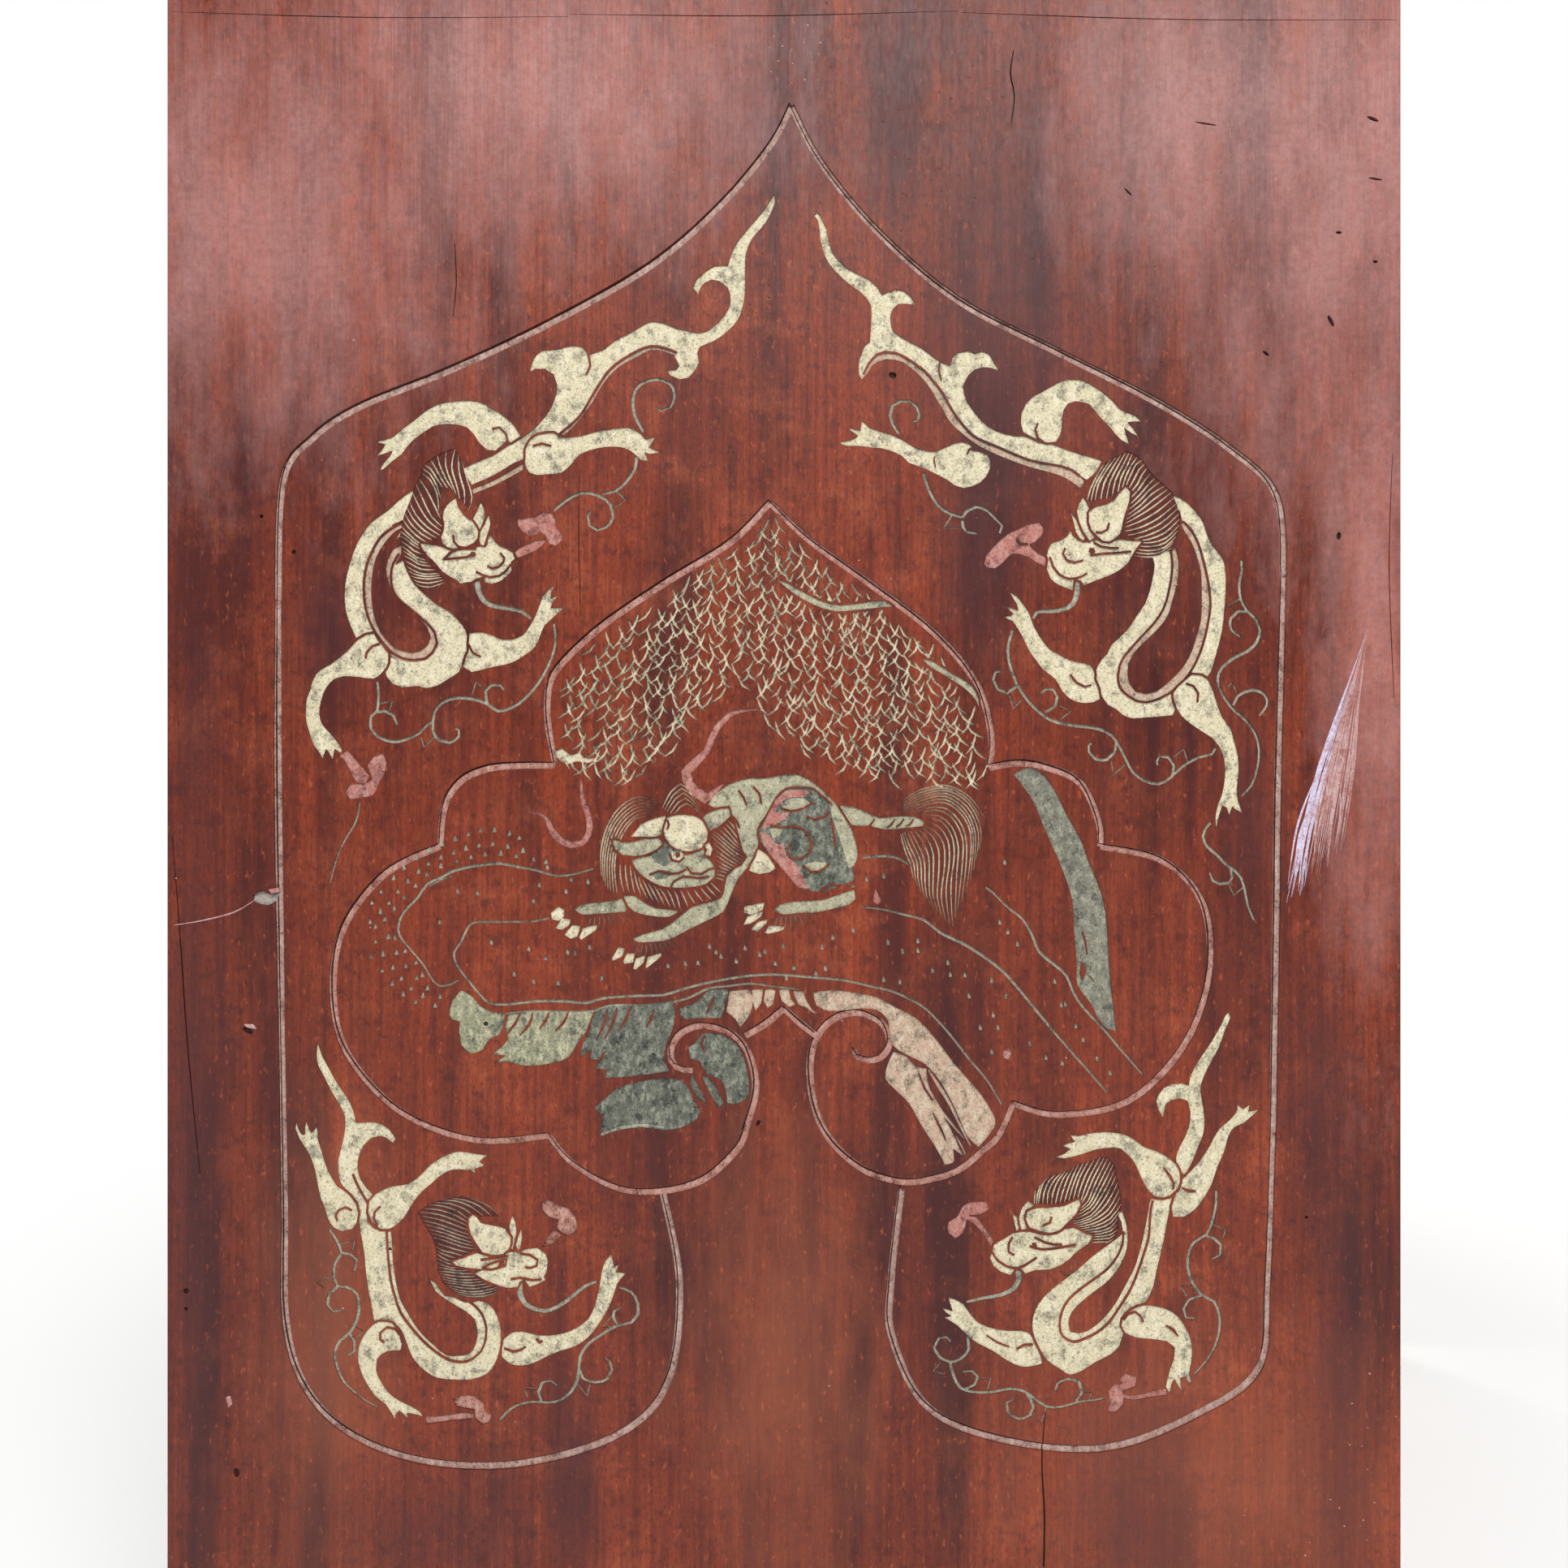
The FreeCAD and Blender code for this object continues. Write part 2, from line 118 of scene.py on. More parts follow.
def object_position(tree):
    """The position of a point in its own piece, as a socket."""
    return add_node(tree, "ShaderNodeTexCoord").outputs["Object"]


def add_bump(tree, shader, height, strength, distance):
    """Light a shader as if its surface rose and fell with a height."""
    inputs = {"Height": height, "Strength": strength, "Distance": distance}
    bump = add_node(tree, "ShaderNodeBump", inputs)
    tree.links.new(bump.outputs["Normal"], shader.inputs["Normal"])


def wood(name, pale, dark, ring_scale):
    """Planed wood with its fibres upright: pale and dark growth lines and a fine ribbed surface."""
    material, tree, shader = new_material(name)
    place = object_position(tree)
    rings = upright(tree, place, RING_SQUEEZE, ring_scale)
    fibres = upright(tree, place, FIBRE_SQUEEZE, ring_scale * FIBRES_PER_RING)
    tone = sum_of(
        tree, "ADD", ranged(tree, rings, 0.35, 0.65, 0.0, 0.75), ranged(tree, fibres, 0.3, 0.7, 0.0, 0.25))
    tree.links.new(blended(tree, tone, dark, pale), shader.inputs["Base Color"])
    tree.links.new(ranged(tree, fibres, 0.3, 0.7, 0.55, 0.75), shader.inputs["Roughness"])
    add_bump(tree, shader, fibres, 0.4, 0.0003)
    return material


def cover(node, material):
    """Give a solid of the frame its finish."""
    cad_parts[node].data.materials.clear()
    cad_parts[node].data.materials.append(material)


board_wood = wood("board_wood", BOARD_PALE, BOARD_DARK, BOARD_RINGS)
batten_wood = wood("batten_wood", BATTEN_PALE, BATTEN_DARK, BATTEN_RINGS)
bamboo = wood("bamboo", BAMBOO_PALE, BAMBOO_DARK, BAMBOO_RINGS)
for leaf in LEAVES:
    for piece in ("left_board", "middle_board", "right_board", "top_cap"):
        cover(f"leaf_{leaf}_{piece}", board_wood)
    cover(f"leaf_{leaf}_back_battens", batten_wood)
    cover(f"leaf_{leaf}_bamboo_pins", bamboo)

# Lacquer.
# Thin coats of red-brown lacquer lie over a grey ground of brick dust and glue. The upright grain of
# the boards shows through, with dark streaks, paler rubbed patches, pits and fine scratches.

LACQUER_RED = (0.210, 0.036, 0.0140, 1.0)
LACQUER_DARK = (0.050, 0.0115, 0.0105, 1.0)
LACQUER_ORANGE = (0.350, 0.080, 0.032, 1.0)
BACK_RED = (0.075, 0.014, 0.009, 1.0)
BACK_DARK = (0.020, 0.007, 0.006, 1.0)
BACK_ORANGE = (0.12, 0.030, 0.016, 1.0)
EDGE_RED = (0.10, 0.017, 0.010, 1.0)
STAIN = (0.055, 0.017, 0.019, 1.0)
PAINTED_SHEEN = (0.42, 0.205, 0.190, 1.0)
WARM = (0.40, 0.120, 0.060, 1.0)
# Patches on the first leaf, each as its middle along and up the leaf and its half width and half height
STAINS = (
    (0.315, 0.637, 0.030, 0.100), (0.316, 0.690, 0.018, 0.014), (0.009, 0.400, 0.013, 0.280),
    (0.360, 0.172, 0.026, 0.048), (0.434, 0.215, 0.010, 0.110), (0.100, 0.166, 0.045, 0.026),
    (0.270, 0.700, 0.014, 0.060), (0.385, 0.560, 0.010, 0.060), (0.225, 0.690, 0.030, 0.035),
    (0.400, 0.430, 0.014, 0.030), (0.060, 0.500, 0.020, 0.030), (0.300, 0.520, 0.016, 0.040),
    (0.150, 0.185, 0.014, 0.040), (0.028, 0.560, 0.022, 0.040), (0.428, 0.330, 0.012, 0.050))
# Painted sheen: the pale haze near the top and right edge of the first leaf, where the lacquer reflects the
# light
SHEEN_PATCHES = (
    (0.440, 0.665, 0.062, 0.120), (0.030, 0.650, 0.080, 0.080), (0.130, 0.700, 0.085, 0.060),
    (0.375, 0.690, 0.040, 0.060), (0.446, 0.520, 0.020, 0.140))
WARMS = ((0.385, 0.185, 0.080, 0.055), (0.228, 0.225, 0.035, 0.080), (0.060, 0.240, 0.026, 0.080))
TURN = math.radians(62.0)
LEAF_SEED_SPACING = 5.0
# Layers of noise in the lacquer, each as its squeeze upright, scale, detail and roughness
GRAIN = (0.035, 420.0, 5.0, 0.6)
STREAKS = (0.10, 46.0, 5.0, 0.62)
BANDS = (0.25, 11.0, 3.0, 0.55)
PATCHES = (1.0, 38.0, 7.0, 0.68)
BLOTCHES = (1.0, 160.0, 4.0, 0.7)
SPECKLE = (0.4, 950.0, 3.0, 0.65)
FLECKS = (0.45, 520.0, 3.0, 0.6)
SCUFFS = (0.3, 620.0, 2.0, 0.5)
RAGGED = (0.35, 60.0, 8.0, 0.72)
SHEEN_NOISE = (1.0, 330.0, 6.0, 0.75)
PIT_SCALE = 230.0
PIT_DEPTH = 0.5
WARM_SHARE = 0.28
STAIN_SHARE = 0.60
FRONT_GLOSS = 0.19
FRONT_BUMP = 0.6
BACK_GLOSS = 0.25
BACK_BUMP = 0.5
BUMP_HEIGHT = 0.0004


def group_sockets(group, inputs, outputs):
    """Give a node group its inputs and outputs."""
    for direction, sockets in (("INPUT", inputs), ("OUTPUT", outputs)):
        for name, kind in sockets:
            group.interface.new_socket(name=name, in_out=direction, socket_type="NodeSocket" + kind)


def lacquer_group():
    """Aged lacquer over boards: colour, roughness and height from a place on a leaf."""
    group = bpy.data.node_groups.new("aged_lacquer", "ShaderNodeTree")
    group_sockets(
        group,
        (("Place", "Vector"), ("Leaf", "Float"), ("Body", "Color"), ("Streak", "Color"), ("Rubbed", "Color")),
        (("Colour", "Color"), ("Roughness", "Float"), ("Height", "Float")))
    given = add_node(group, "NodeGroupInput")
    result = add_node(group, "NodeGroupOutput")
    streak, rubbed = given.outputs["Streak"], given.outputs["Rubbed"]
    shift = sum_of(group, "MULTIPLY", given.outputs["Leaf"], LEAF_SEED_SPACING)
    seed = add_node(group, "ShaderNodeCombineXYZ", {"X": shift}).outputs[0]
    place = add_node(group, "ShaderNodeVectorMath", {0: given.outputs["Place"], 1: seed}).outputs[0]
    grain = upright(group, place, *GRAIN)
    bands = upright(group, place, *BANDS)
    patches = upright(group, place, *PATCHES)
    dark = sum_of(
        group, "ADD",
        ranged(group, upright(group, place, *STREAKS), 0.46, 0.64, 0.0, 0.80),
        ranged(group, bands, 0.48, 0.70, 0.0, 0.60))
    worn = sum_of(
        group, "MULTIPLY",
        ranged(group, patches, 0.5, 0.66, 0.0, 0.75),
        ranged(group, bands, 0.36, 0.56, 1.0, 0.25))
    dots = add_node(group, "ShaderNodeTexVoronoi", {"Vector": place, "Scale": PIT_SCALE}).outputs["Distance"]
    pits = sum_of(
        group, "MULTIPLY", ranged(group, dots, 0.0, 0.14, 1.0, 0.0), ranged(group, patches, 0.46, 0.54))
    colour = given.outputs["Body"]
    for amount, tone in (
            (dark, streak), (worn, rubbed),
            (ranged(group, grain, 0.38, 0.60, 0.48, 0.0), streak),
            (ranged(group, upright(group, place, *BLOTCHES), 0.52, 0.66, 0.0, 0.62), streak),
            (ranged(group, upright(group, place, *SPECKLE), 0.50, 0.66, 0.0, 0.55), streak),
            (ranged(group, upright(group, place, *FLECKS), 0.60, 0.70, 0.0, 0.55), rubbed),
            (ranged(group, pits, 0.2, 0.8, 0.0, 0.7), streak)):
        colour = blended(group, amount, colour, tone)
    group.links.new(colour, result.inputs["Colour"])
    gloss = sum_of(
        group, "ADD",
        ranged(group, patches, 0.3, 0.7, 0.27, 0.43),
        ranged(group, upright(group, place, *SCUFFS), 0.4, 0.7, 0.0, 0.12))
    group.links.new(gloss, result.inputs["Roughness"])
    height = sum_of(
        group, "ADD", ranged(group, grain, 0.3, 0.7, 0.0, 0.5), ranged(group, patches, 0.3, 0.7, 0.0, 0.35))
    height = sum_of(group, "SUBTRACT", height, sum_of(group, "MULTIPLY", pits, PIT_DEPTH))
    group.links.new(height, result.inputs["Height"])
    return group


aged_lacquer = lacquer_group()


def leaf_turn(leaf):
    """The way a leaf's width runs from +X: odd leaves come forward, even leaves go back."""
    return -TURN if leaf % 2 else TURN


def leaf_origin(leaf):
    """Front lower left corner of a leaf, from the box of its front coat."""
    low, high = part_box(f"leaf_{leaf}_front_coat")
    tangent = math.tan(TURN)
    coat = (high.x - low.x - (high.y - low.y) / tangent) / (math.sin(TURN) - math.cos(TURN) / tangent)
    if leaf % 2:
        return Vector((low.x, high.y - coat * math.cos(TURN), 0.0))
    return Vector((low.x + coat * math.sin(TURN), low.y, 0.0))


def leaf_matrix(leaf):
    """From a leaf's own frame, x along it, y into it and z up, to the frame of the screen."""
    return Matrix.Translation(leaf_origin(leaf)) @ Matrix.Rotation(leaf_turn(leaf), 4, "Z")


def place_on_leaf(tree, leaf):
    """The position in a leaf's own frame, so that the grain runs with the leaf."""
    back = leaf_matrix(leaf).inverted()
    inputs = {"Vector": object_position(tree), "Location": back.translation, "Rotation": back.to_euler()}
    return add_node(tree, "ShaderNodeMapping", inputs, vector_type="POINT").outputs["Vector"]


def patches_on_leaf(tree, place, patches, wobble):
    """Soft patches with ragged upright edges, as a socket from 0 to 1."""
    amount = 0.0
    for along, up, half_width, half_height in patches:
        middle = (along, 0.0, up)
        away = add_node(tree, "ShaderNodeVectorMath", {0: place, 1: middle}, operation="SUBTRACT").outputs[0]
        away = stretched(tree, away, (1 / half_width, 0.0, 1 / half_height))
        length = add_node(tree, "ShaderNodeVectorMath", {0: away}, operation="LENGTH").outputs["Value"]
        soft = ranged(tree, sum_of(tree, "ADD", length, wobble), 0.1, 1.4, 1.0, 0.0)
        amount = sum_of(tree, "MAXIMUM", soft, amount)
    return amount


def stains_and_painted_sheen(tree, place, colour):
    """The warm and stained patches of the first leaf and its painted sheen near the top, laid over a colour.
    """
    wobble = ranged(tree, upright(tree, place, *RAGGED), 0.30, 0.70, -0.55, 0.55)
    sheen_share = ranged(tree, upright(tree, place, *SHEEN_NOISE), 0.35, 0.6, 0.66, 0.44)
    # The last patches are painted sheen, pale where the lacquer reflects the light
    for patches, share, tone in (
            (WARMS, WARM_SHARE, WARM), (STAINS, STAIN_SHARE, STAIN), (SHEEN_PATCHES, sheen_share, PAINTED_SHEEN)):
        amount = sum_of(tree, "MULTIPLY", patches_on_leaf(tree, place, patches, wobble), share)
        colour = blended(tree, amount, colour, tone)
    return colour


def lacquer(name, leaf, body, streak, rubbed, gloss, bump, with_stains_and_sheen=False):
    """Aged lacquer with its grain upright on one leaf."""
    material, tree, shader = new_material(name)
    place = place_on_leaf(tree, leaf)
    inputs = {"Place": place, "Leaf": float(leaf), "Body": body, "Streak": streak, "Rubbed": rubbed}
    surface = add_node(tree, "ShaderNodeGroup", inputs, node_tree=aged_lacquer)
    colour = surface.outputs["Colour"]
    if with_stains_and_sheen:
        colour = stains_and_painted_sheen(tree, place, colour)
    tree.links.new(colour, shader.inputs["Base Color"])
    tree.links.new(surface.outputs["Roughness"], shader.inputs["Roughness"])
    shader.inputs["Specular IOR Level"].default_value = gloss
    add_bump(tree, shader, surface.outputs["Height"], bump, BUMP_HEIGHT)
    return material


front_lacquers = {}
for leaf in LEAVES:
    front_lacquers[leaf] = lacquer(
        f"front_lacquer_{leaf}", leaf, LACQUER_RED, LACQUER_DARK, LACQUER_ORANGE, FRONT_GLOSS, FRONT_BUMP,
        with_stains_and_sheen=leaf == 1)
    for side, red, orange in (("back", BACK_RED, BACK_ORANGE), ("edge", EDGE_RED, LACQUER_ORANGE)):
        coat = lacquer(f"{side}_lacquer_{leaf}", leaf, red, BACK_DARK, orange, BACK_GLOSS, BACK_BUMP)
        cover(f"leaf_{leaf}_{side}_coat", coat)

# Carved fronts.
# The carver cuts the drawing through the lacquer film into the ground, leaves the film standing as
# dark lines and hair, and lays coloured pigment in the hollows a little below the surface.
# The drawing is in pixels of the photograph, x to the right and y down, and runs on above it.

LEAF_WIDTH = 0.456
LEAF_BOTTOM = 0.002
LEAF_TOP = 1.9
COAT = 0.003
FILM = 0.0012
PIGMENT_DEPTH = 0.0005
PHOTO_LEFT = 206
PHOTO_RIGHT = 1726
PHOTO_FOOT = 1938
GARDEN_FOOT = 0.150
PIXEL = LEAF_WIDTH / (PHOTO_RIGHT - PHOTO_LEFT)
CURVE_STEP = 9.0
MOST_CURVE_STEPS = 8
CORNER_TURN = math.radians(58.0)

drawing = []


def smooth(points, closed):
    """A curve through points, round where it turns gently and sharp at corners."""
    points = [Vector(point[:2]) for point in points]
    count = len(points)
    gentle = []
    for index in range(count):
        before = points[index] - points[index - 1]
        after = points[(index + 1) % count] - points[index]
        gentle.append(before.length > 0 and after.length > 0 and before.angle(after) < CORNER_TURN)
    if not closed:
        gentle[0] = gentle[-1] = False
    curve = []
    for index in range(count if closed else count - 1):
        start, end = points[index], points[(index + 1) % count]
        lead = points[index - 1] if gentle[index] else start
        follow = points[(index + 2) % count] if gentle[(index + 1) % count] else end
        steps = max(1, min(MOST_CURVE_STEPS, round((end - start).length / CURVE_STEP)))
        for step in range(steps):
            t = step / steps
            curve.append(
                0.5 * (2 * start + t * (end - lead) + t * t * (2 * lead - 5 * start + 4 * end - follow)
                       + t ** 3 * (3 * start - lead - 3 * end + follow)))
    if not closed:
        curve.append(points[-1])
    return curve


def cut(colour, *points):
    """Cut a closed shape and fill it, or leave lacquer standing where the colour is film."""
    drawing.append((colour, smooth(points, True)))


def stroke(colour, widths, *points):
    """Cut a line that tapers through the given widths from its start to its end."""
    middle = smooth(points, False)
    along = [0.0]
    for first, second in zip(middle, middle[1:]):
        along.append(along[-1] + (second - first).length)
    left = []
    right = []
    for index, place in enumerate(middle):
        ahead = middle[min(index + 1, len(middle) - 1)] - middle[max(index - 1, 0)]
        aside = Vector((-ahead.y, ahead.x)).normalized()
        share = along[index] / along[-1] * (len(widths) - 1)
        lower = min(int(share), len(widths) - 2)
        width = widths[lower] + (widths[lower + 1] - widths[lower]) * (share - lower)
        left.append(place + aside * width / 2)
        right.append(place - aside * width / 2)
    drawing.append((colour, left + right[::-1]))


# Cartouche of the garden panel: an ogee with scrolled feet round a lobed picture of a garden. The first
# six lines are the outer ones. A thin line of painted shade lies along the upper edge of each.
CARTOUCHE_WIDTHS = (8.0, 9.5, 9.5, 8.5)
OUTER_WIDTHS = (8.0, 10.0, 10.0, 9.0)
OUTER_LINES = 6
SHADE_LINE_WIDTHS = (1.2, 2.3, 2.1, 1.4)
SHADE_LINE_ABOVE = 3.8
SHADE_LINE_LEFT = SHADE_LINE_ABOVE * 0.6
CARTOUCHE_LINES = (
    ((975, 130), (949, 179), (887, 253), (801, 327), (678, 397), (555, 455), (444, 500), (385, 539),
     (348, 592), (342, 739)),
    ((342, 739), (342, 966), (346, 1243)),
    ((346, 1243), (350, 1490), (352, 1631), (379, 1715), (437, 1770), (530, 1802), (647, 1803),
     (764, 1767), (823, 1702), (837, 1582), (816, 1468)),
    ((975, 130), (1012, 200), (1083, 286), (1182, 370), (1305, 434), (1422, 493), (1514, 551),
     (1573, 610), (1582, 709)),
    ((1582, 709), (1575, 966), (1573, 1120), (1569, 1397)),
    ((1569, 1397), (1562, 1582), (1551, 1687), (1477, 1742), (1366, 1784), (1243, 1776), (1145, 1736),
     (1100, 1650), (1098, 1582), (1111, 1465)),
    ((949, 619), (900, 668), (819, 718), (739, 773), (687, 823), (675, 853), (675, 893), (684, 943)),
    ((684, 943), (641, 943), (604, 946), (573, 958), (554, 978), (545, 1003), (542, 1043)),
    ((542, 1043), (474, 1077), (422, 1145), (410, 1225), (428, 1299), (493, 1370), (585, 1405), (676, 1400)),
    ((676, 1400), (709, 1437), (776, 1468), (856, 1459), (907, 1418), (920, 1386), (929, 1356), (931, 1334),
     (927, 1312), (918, 1290), (903, 1275), (885, 1267), (864, 1264), (848, 1268), (833, 1279), (826, 1294),
     (827, 1307), (833, 1315), (844, 1319), (854, 1319)),
    ((918, 1277), (943, 1262), (966, 1243)),
    ((949, 619), (997, 665), (1071, 718), (1151, 779), (1203, 841), (1222, 906), (1219, 946)),
    ((1219, 946), (1256, 940), (1293, 946), (1333, 966), (1355, 1015), (1356, 1043)),
    ((1356, 1043), (1434, 1061), (1483, 1114), (1490, 1200), (1459, 1289), (1391, 1357), (1305, 1374),
     (1249, 1360)),
    ((1249, 1360), (1231, 1400), (1210, 1420), (1181, 1443), (1146, 1454), (1114, 1457), (1078, 1448),
     (1053, 1434), (1028, 1411), (1010, 1382), (1001, 1350), (998, 1318), (1000, 1296), (1007, 1277),
     (1019, 1262), (1035, 1252), (1055, 1248), (1072, 1252), (1087, 1261), (1095, 1275), (1095, 1291),
     (1085, 1304), (1071, 1307), (1058, 1304), (1052, 1294)),
    ((1006, 1277), (984, 1259), (966, 1243)))
for number, points in enumerate(CARTOUCHE_LINES):
    if number < OUTER_LINES:
        stroke("ash", OUTER_WIDTHS, *points)
    else:
        stroke("rose", CARTOUCHE_WIDTHS, *points)
    # Painted shade: a thin dark line just above and left of each line, where the edge of its groove shades it
    stroke("grime", SHADE_LINE_WIDTHS, *[(x - SHADE_LINE_LEFT, y - SHADE_LINE_ABOVE) for x, y in points])

# Plain frames above the garden panel: a waist band, a tall field and a top band.
FRAME_MARGIN = 0.041
FRAME_SPACING = 0.034
FRAME_CORNER = 0.014
BAND_HEIGHT = 0.092
TOP_MARGIN = 0.040
CREASE_ROW = 18
CREASE = GARDEN_FOOT + (PHOTO_FOOT - CREASE_ROW) * PIXEL
FRAME_LINE = 11.0
CORNER_STEPS = 5


def on_drawing(x, z):
    """A place on the front of a leaf, in metres, as pixels of the drawing."""
    return (PHOTO_LEFT + x / PIXEL, PHOTO_FOOT - (z - GARDEN_FOOT) / PIXEL)


def frame_outline(bottom, top, grow):
    """A frame across the leaf with its corners drawn in, grown outwards by a length."""
    radius = FRAME_CORNER - grow
    outline = []
    for x, z, start in (
            (FRAME_MARGIN, bottom, 90), (LEAF_WIDTH - FRAME_MARGIN, bottom, 180),
            (LEAF_WIDTH - FRAME_MARGIN, top, 270), (FRAME_MARGIN, top, 0)):
        aside = -grow if x == FRAME_MARGIN else grow
        below = -grow if z == bottom else grow
        corner = []
        for step in range(CORNER_STEPS + 1):
            angle = math.radians(start - 90 * step / CORNER_STEPS)
            corner.append((x + radius * math.cos(angle), z + radius * math.sin(angle)))
        on_side = start in (90, 270)
        first, last = corner[0], corner[-1]
        corner[0] = (x + aside, first[1]) if on_side else (first[0], z + below)
        corner[-1] = (last[0], z + below) if on_side else (x + aside, last[1])
        outline += corner
    return outline


def frame_line(bottom, top):
    """Cut the line of a frame across the leaf, and leave the lacquer inside it standing."""
    half = FRAME_LINE / 2 * PIXEL
    for colour, grow in (("ash", half), ("film", -half)):
        points = [on_drawing(x, z) for x, z in frame_outline(bottom, top, grow)]
        drawing.append((colour, [Vector(point) for point in points]))


waist_bottom = CREASE + FRAME_SPACING
field_bottom = waist_bottom + BAND_HEIGHT + FRAME_SPACING
band_bottom = LEAF_TOP - TOP_MARGIN - BAND_HEIGHT
field_top = band_bottom - FRAME_SPACING
frame_line(waist_bottom, waist_bottom + BAND_HEIGHT)
frame_line(field_bottom, field_top)
frame_line(band_bottom, band_bottom + BAND_HEIGHT)

dragons_start = len(drawing)

# Dragons between the two lines of the cartouche, with vines and fungus round them.
DARK_LINE = (2.4, 2.6, 2.2)
VINE = (3.6, 4.2, 3.8, 3.0)
TENDRIL = (8.0, 5.5, 4.0)
RIM = (5.0, 5.0)
STRAND = (1.0, 2.1, 1.9, 0.7)
LEAF_MARK = (1.6, 2.6, 1.6)


def limb(colour, *points):
    """A closed shape with a rim of lacquer standing round it, so that it parts from what it crosses."""
    stroke("film", RIM, *points, points[0])
    cut(colour, *points)


def hair(colour, between, *guides):
    """Strands that follow guides from root to tip, with some more between each two guides."""
    for first, second in zip(guides, guides[1:]):
        for step in range(between):
            share = step / between
            stroke(colour, STRAND, *[
                (a[0] + (b[0] - a[0]) * share, a[1] + (b[1] - a[1]) * share) for a, b in zip(first, second)])
    stroke(colour, STRAND, *guides[-1])


def mane(colour, between, *guides):
    """Hair over a darker patch that shows between its strands."""
    tips = [guide[-1] for guide in guides[1:-1]]
    roots = [guide[0] for guide in guides[1:-1]]
    around = list(guides[0]) + tips + list(guides[-1])[::-1] + roots[::-1]
    drawing.append(("shadow", [Vector(point) for point in around]))
    hair(colour, between, *guides)


def leaf_mark(*points):
    """Outline of a small pointed leaf on a vine."""
    stroke("sage", LEAF_MARK, *points)


def vine(*points):
    """A stem or tendril of vine."""
    stroke("sage", VINE, *points)


def dark_line(*points):
    """A thin line of lacquer left standing in a shape."""
    stroke("film", DARK_LINE, *points)


# Upper left dragon: tail and hind body, hind legs, fore body, forelegs, head and mane
cut("cream", (954, 238), (955, 249), (943, 274), (927, 293), (919, 312), (918, 331), (918, 354),
    (916, 373), (910, 392), (897, 407), (881, 419), (862, 427), (859, 434), (861, 446), (857, 455),
    (848, 465), (837, 467), (826, 462), (822, 456), (833, 455), (837, 450), (832, 440), (831, 429),
    (801, 425), (778, 434), (751, 453), (732, 480), (713, 511), (686, 534), (644, 566), (633, 570),
    (617, 580), (602, 588), (581, 597), (573, 584), (571, 576), (594, 566), (610, 559), (625, 549),
    (644, 538), (655, 530), (667, 518), (678, 503), (684, 488), (686, 473), (682, 461), (671, 454),
    (659, 454), (652, 459), (657, 442), (667, 432), (686, 430), (701, 426), (717, 427), (726, 436),
    (744, 430), (757, 419), (770, 413), (786, 404), (801, 396), (818, 398), (832, 404), (847, 407),
    (860, 410), (874, 406), (883, 398), (893, 388), (899, 377), (900, 363), (897, 354), (887, 346),
    (877, 344), (868, 348), (863, 354), (860, 362), (854, 354), (858, 344), (868, 335), (881, 327),
    (897, 327), (902, 310), (912, 293), (927, 275), (943, 256))
cut("tan", (835, 439), (820, 433), (801, 431), (782, 441), (763, 451), (744, 471), (729, 496), (710, 521),
    (694, 536), (686, 534), (713, 511), (732, 480), (751, 453), (778, 434), (801, 425), (831, 429))
dark_line((834, 434), (818, 428), (801, 426), (779, 435), (752, 454), (733, 481), (714, 512), (688, 535))
cut("tan", (583, 608), (610, 597), (644, 579), (644, 569), (610, 589), (581, 602))
dark_line((580, 601), (608, 590), (643, 570))
dark_line((724, 434), (727, 450), (722, 461))
limb("cream", (641, 537), (629, 545), (625, 541), (610, 555), (600, 554), (590, 545), (583, 534),
     (575, 526), (564, 523), (548, 522), (533, 525), (522, 532), (510, 541), (502, 549), (495, 559),
     (483, 568), (472, 578), (467, 579), (472, 570), (480, 561), (483, 555), (472, 559), (462, 562),
     (470, 554), (474, 547), (462, 544), (474, 541), (483, 538), (495, 528), (510, 517), (525, 505),
     (541, 497), (560, 494), (587, 494), (606, 503), (621, 513), (633, 524))
dark_line((606, 528), (615, 526), (623, 534), (625, 543))
limb("cream", (647, 562), (647, 553), (652, 543), (663, 535), (682, 533), (690, 538), (713, 537),
     (736, 531), (763, 527), (778, 527), (789, 534), (795, 541), (807, 538), (803, 545), (800, 551),
     (814, 557), (801, 559), (794, 557), (799, 568), (789, 566), (782, 559), (770, 552), (755, 550),
     (736, 552), (715, 559), (705, 570), (692, 582), (675, 584), (661, 585), (652, 582), (646, 572))
dark_line((656, 549), (667, 546), (679, 549))
cut("cream", (518, 602), (506, 605), (492, 615), (479, 627), (468, 635), (456, 644), (447, 656),
    (438, 672), (430, 695), (425, 717), (424, 741), (428, 762), (439, 788), (450, 782), (460, 780),
    (454, 767), (449, 754), (446, 735), (446, 714), (449, 695), (455, 679), (466, 660), (482, 647),
    (500, 638), (506, 625), (514, 615))
cut("cream", (496, 690), (502, 706), (511, 721), (525, 734), (538, 745), (554, 754), (565, 765),
    (573, 776), (576, 792), (574, 805), (570, 818), (565, 828), (551, 837), (538, 845), (525, 848),
    (513, 845), (495, 847), (483, 842), (476, 834), (474, 826), (479, 808), (495, 814), (511, 816),
    (525, 813), (535, 805), (541, 792), (538, 778), (527, 765), (511, 751), (495, 738), (487, 727),
    (484, 709), (487, 695))
cut("tan", (500, 644), (487, 654), (474, 668), (463, 687), (458, 709), (457, 730), (460, 757), (468, 778),
    (479, 792), (492, 801), (509, 804), (519, 801), (527, 794), (530, 784), (526, 773), (514, 759),
    (498, 746), (487, 734), (479, 719), (475, 700), (478, 687), (484, 676), (494, 671), (494, 682),
    (487, 695), (484, 709), (487, 727), (495, 738), (511, 751), (527, 765), (538, 778), (541, 792),
    (535, 805), (525, 813), (511, 816), (495, 814), (482, 808), (471, 794), (460, 780), (454, 767),
    (449, 754), (446, 735), (446, 714), (449, 695), (455, 679), (466, 660), (482, 647))
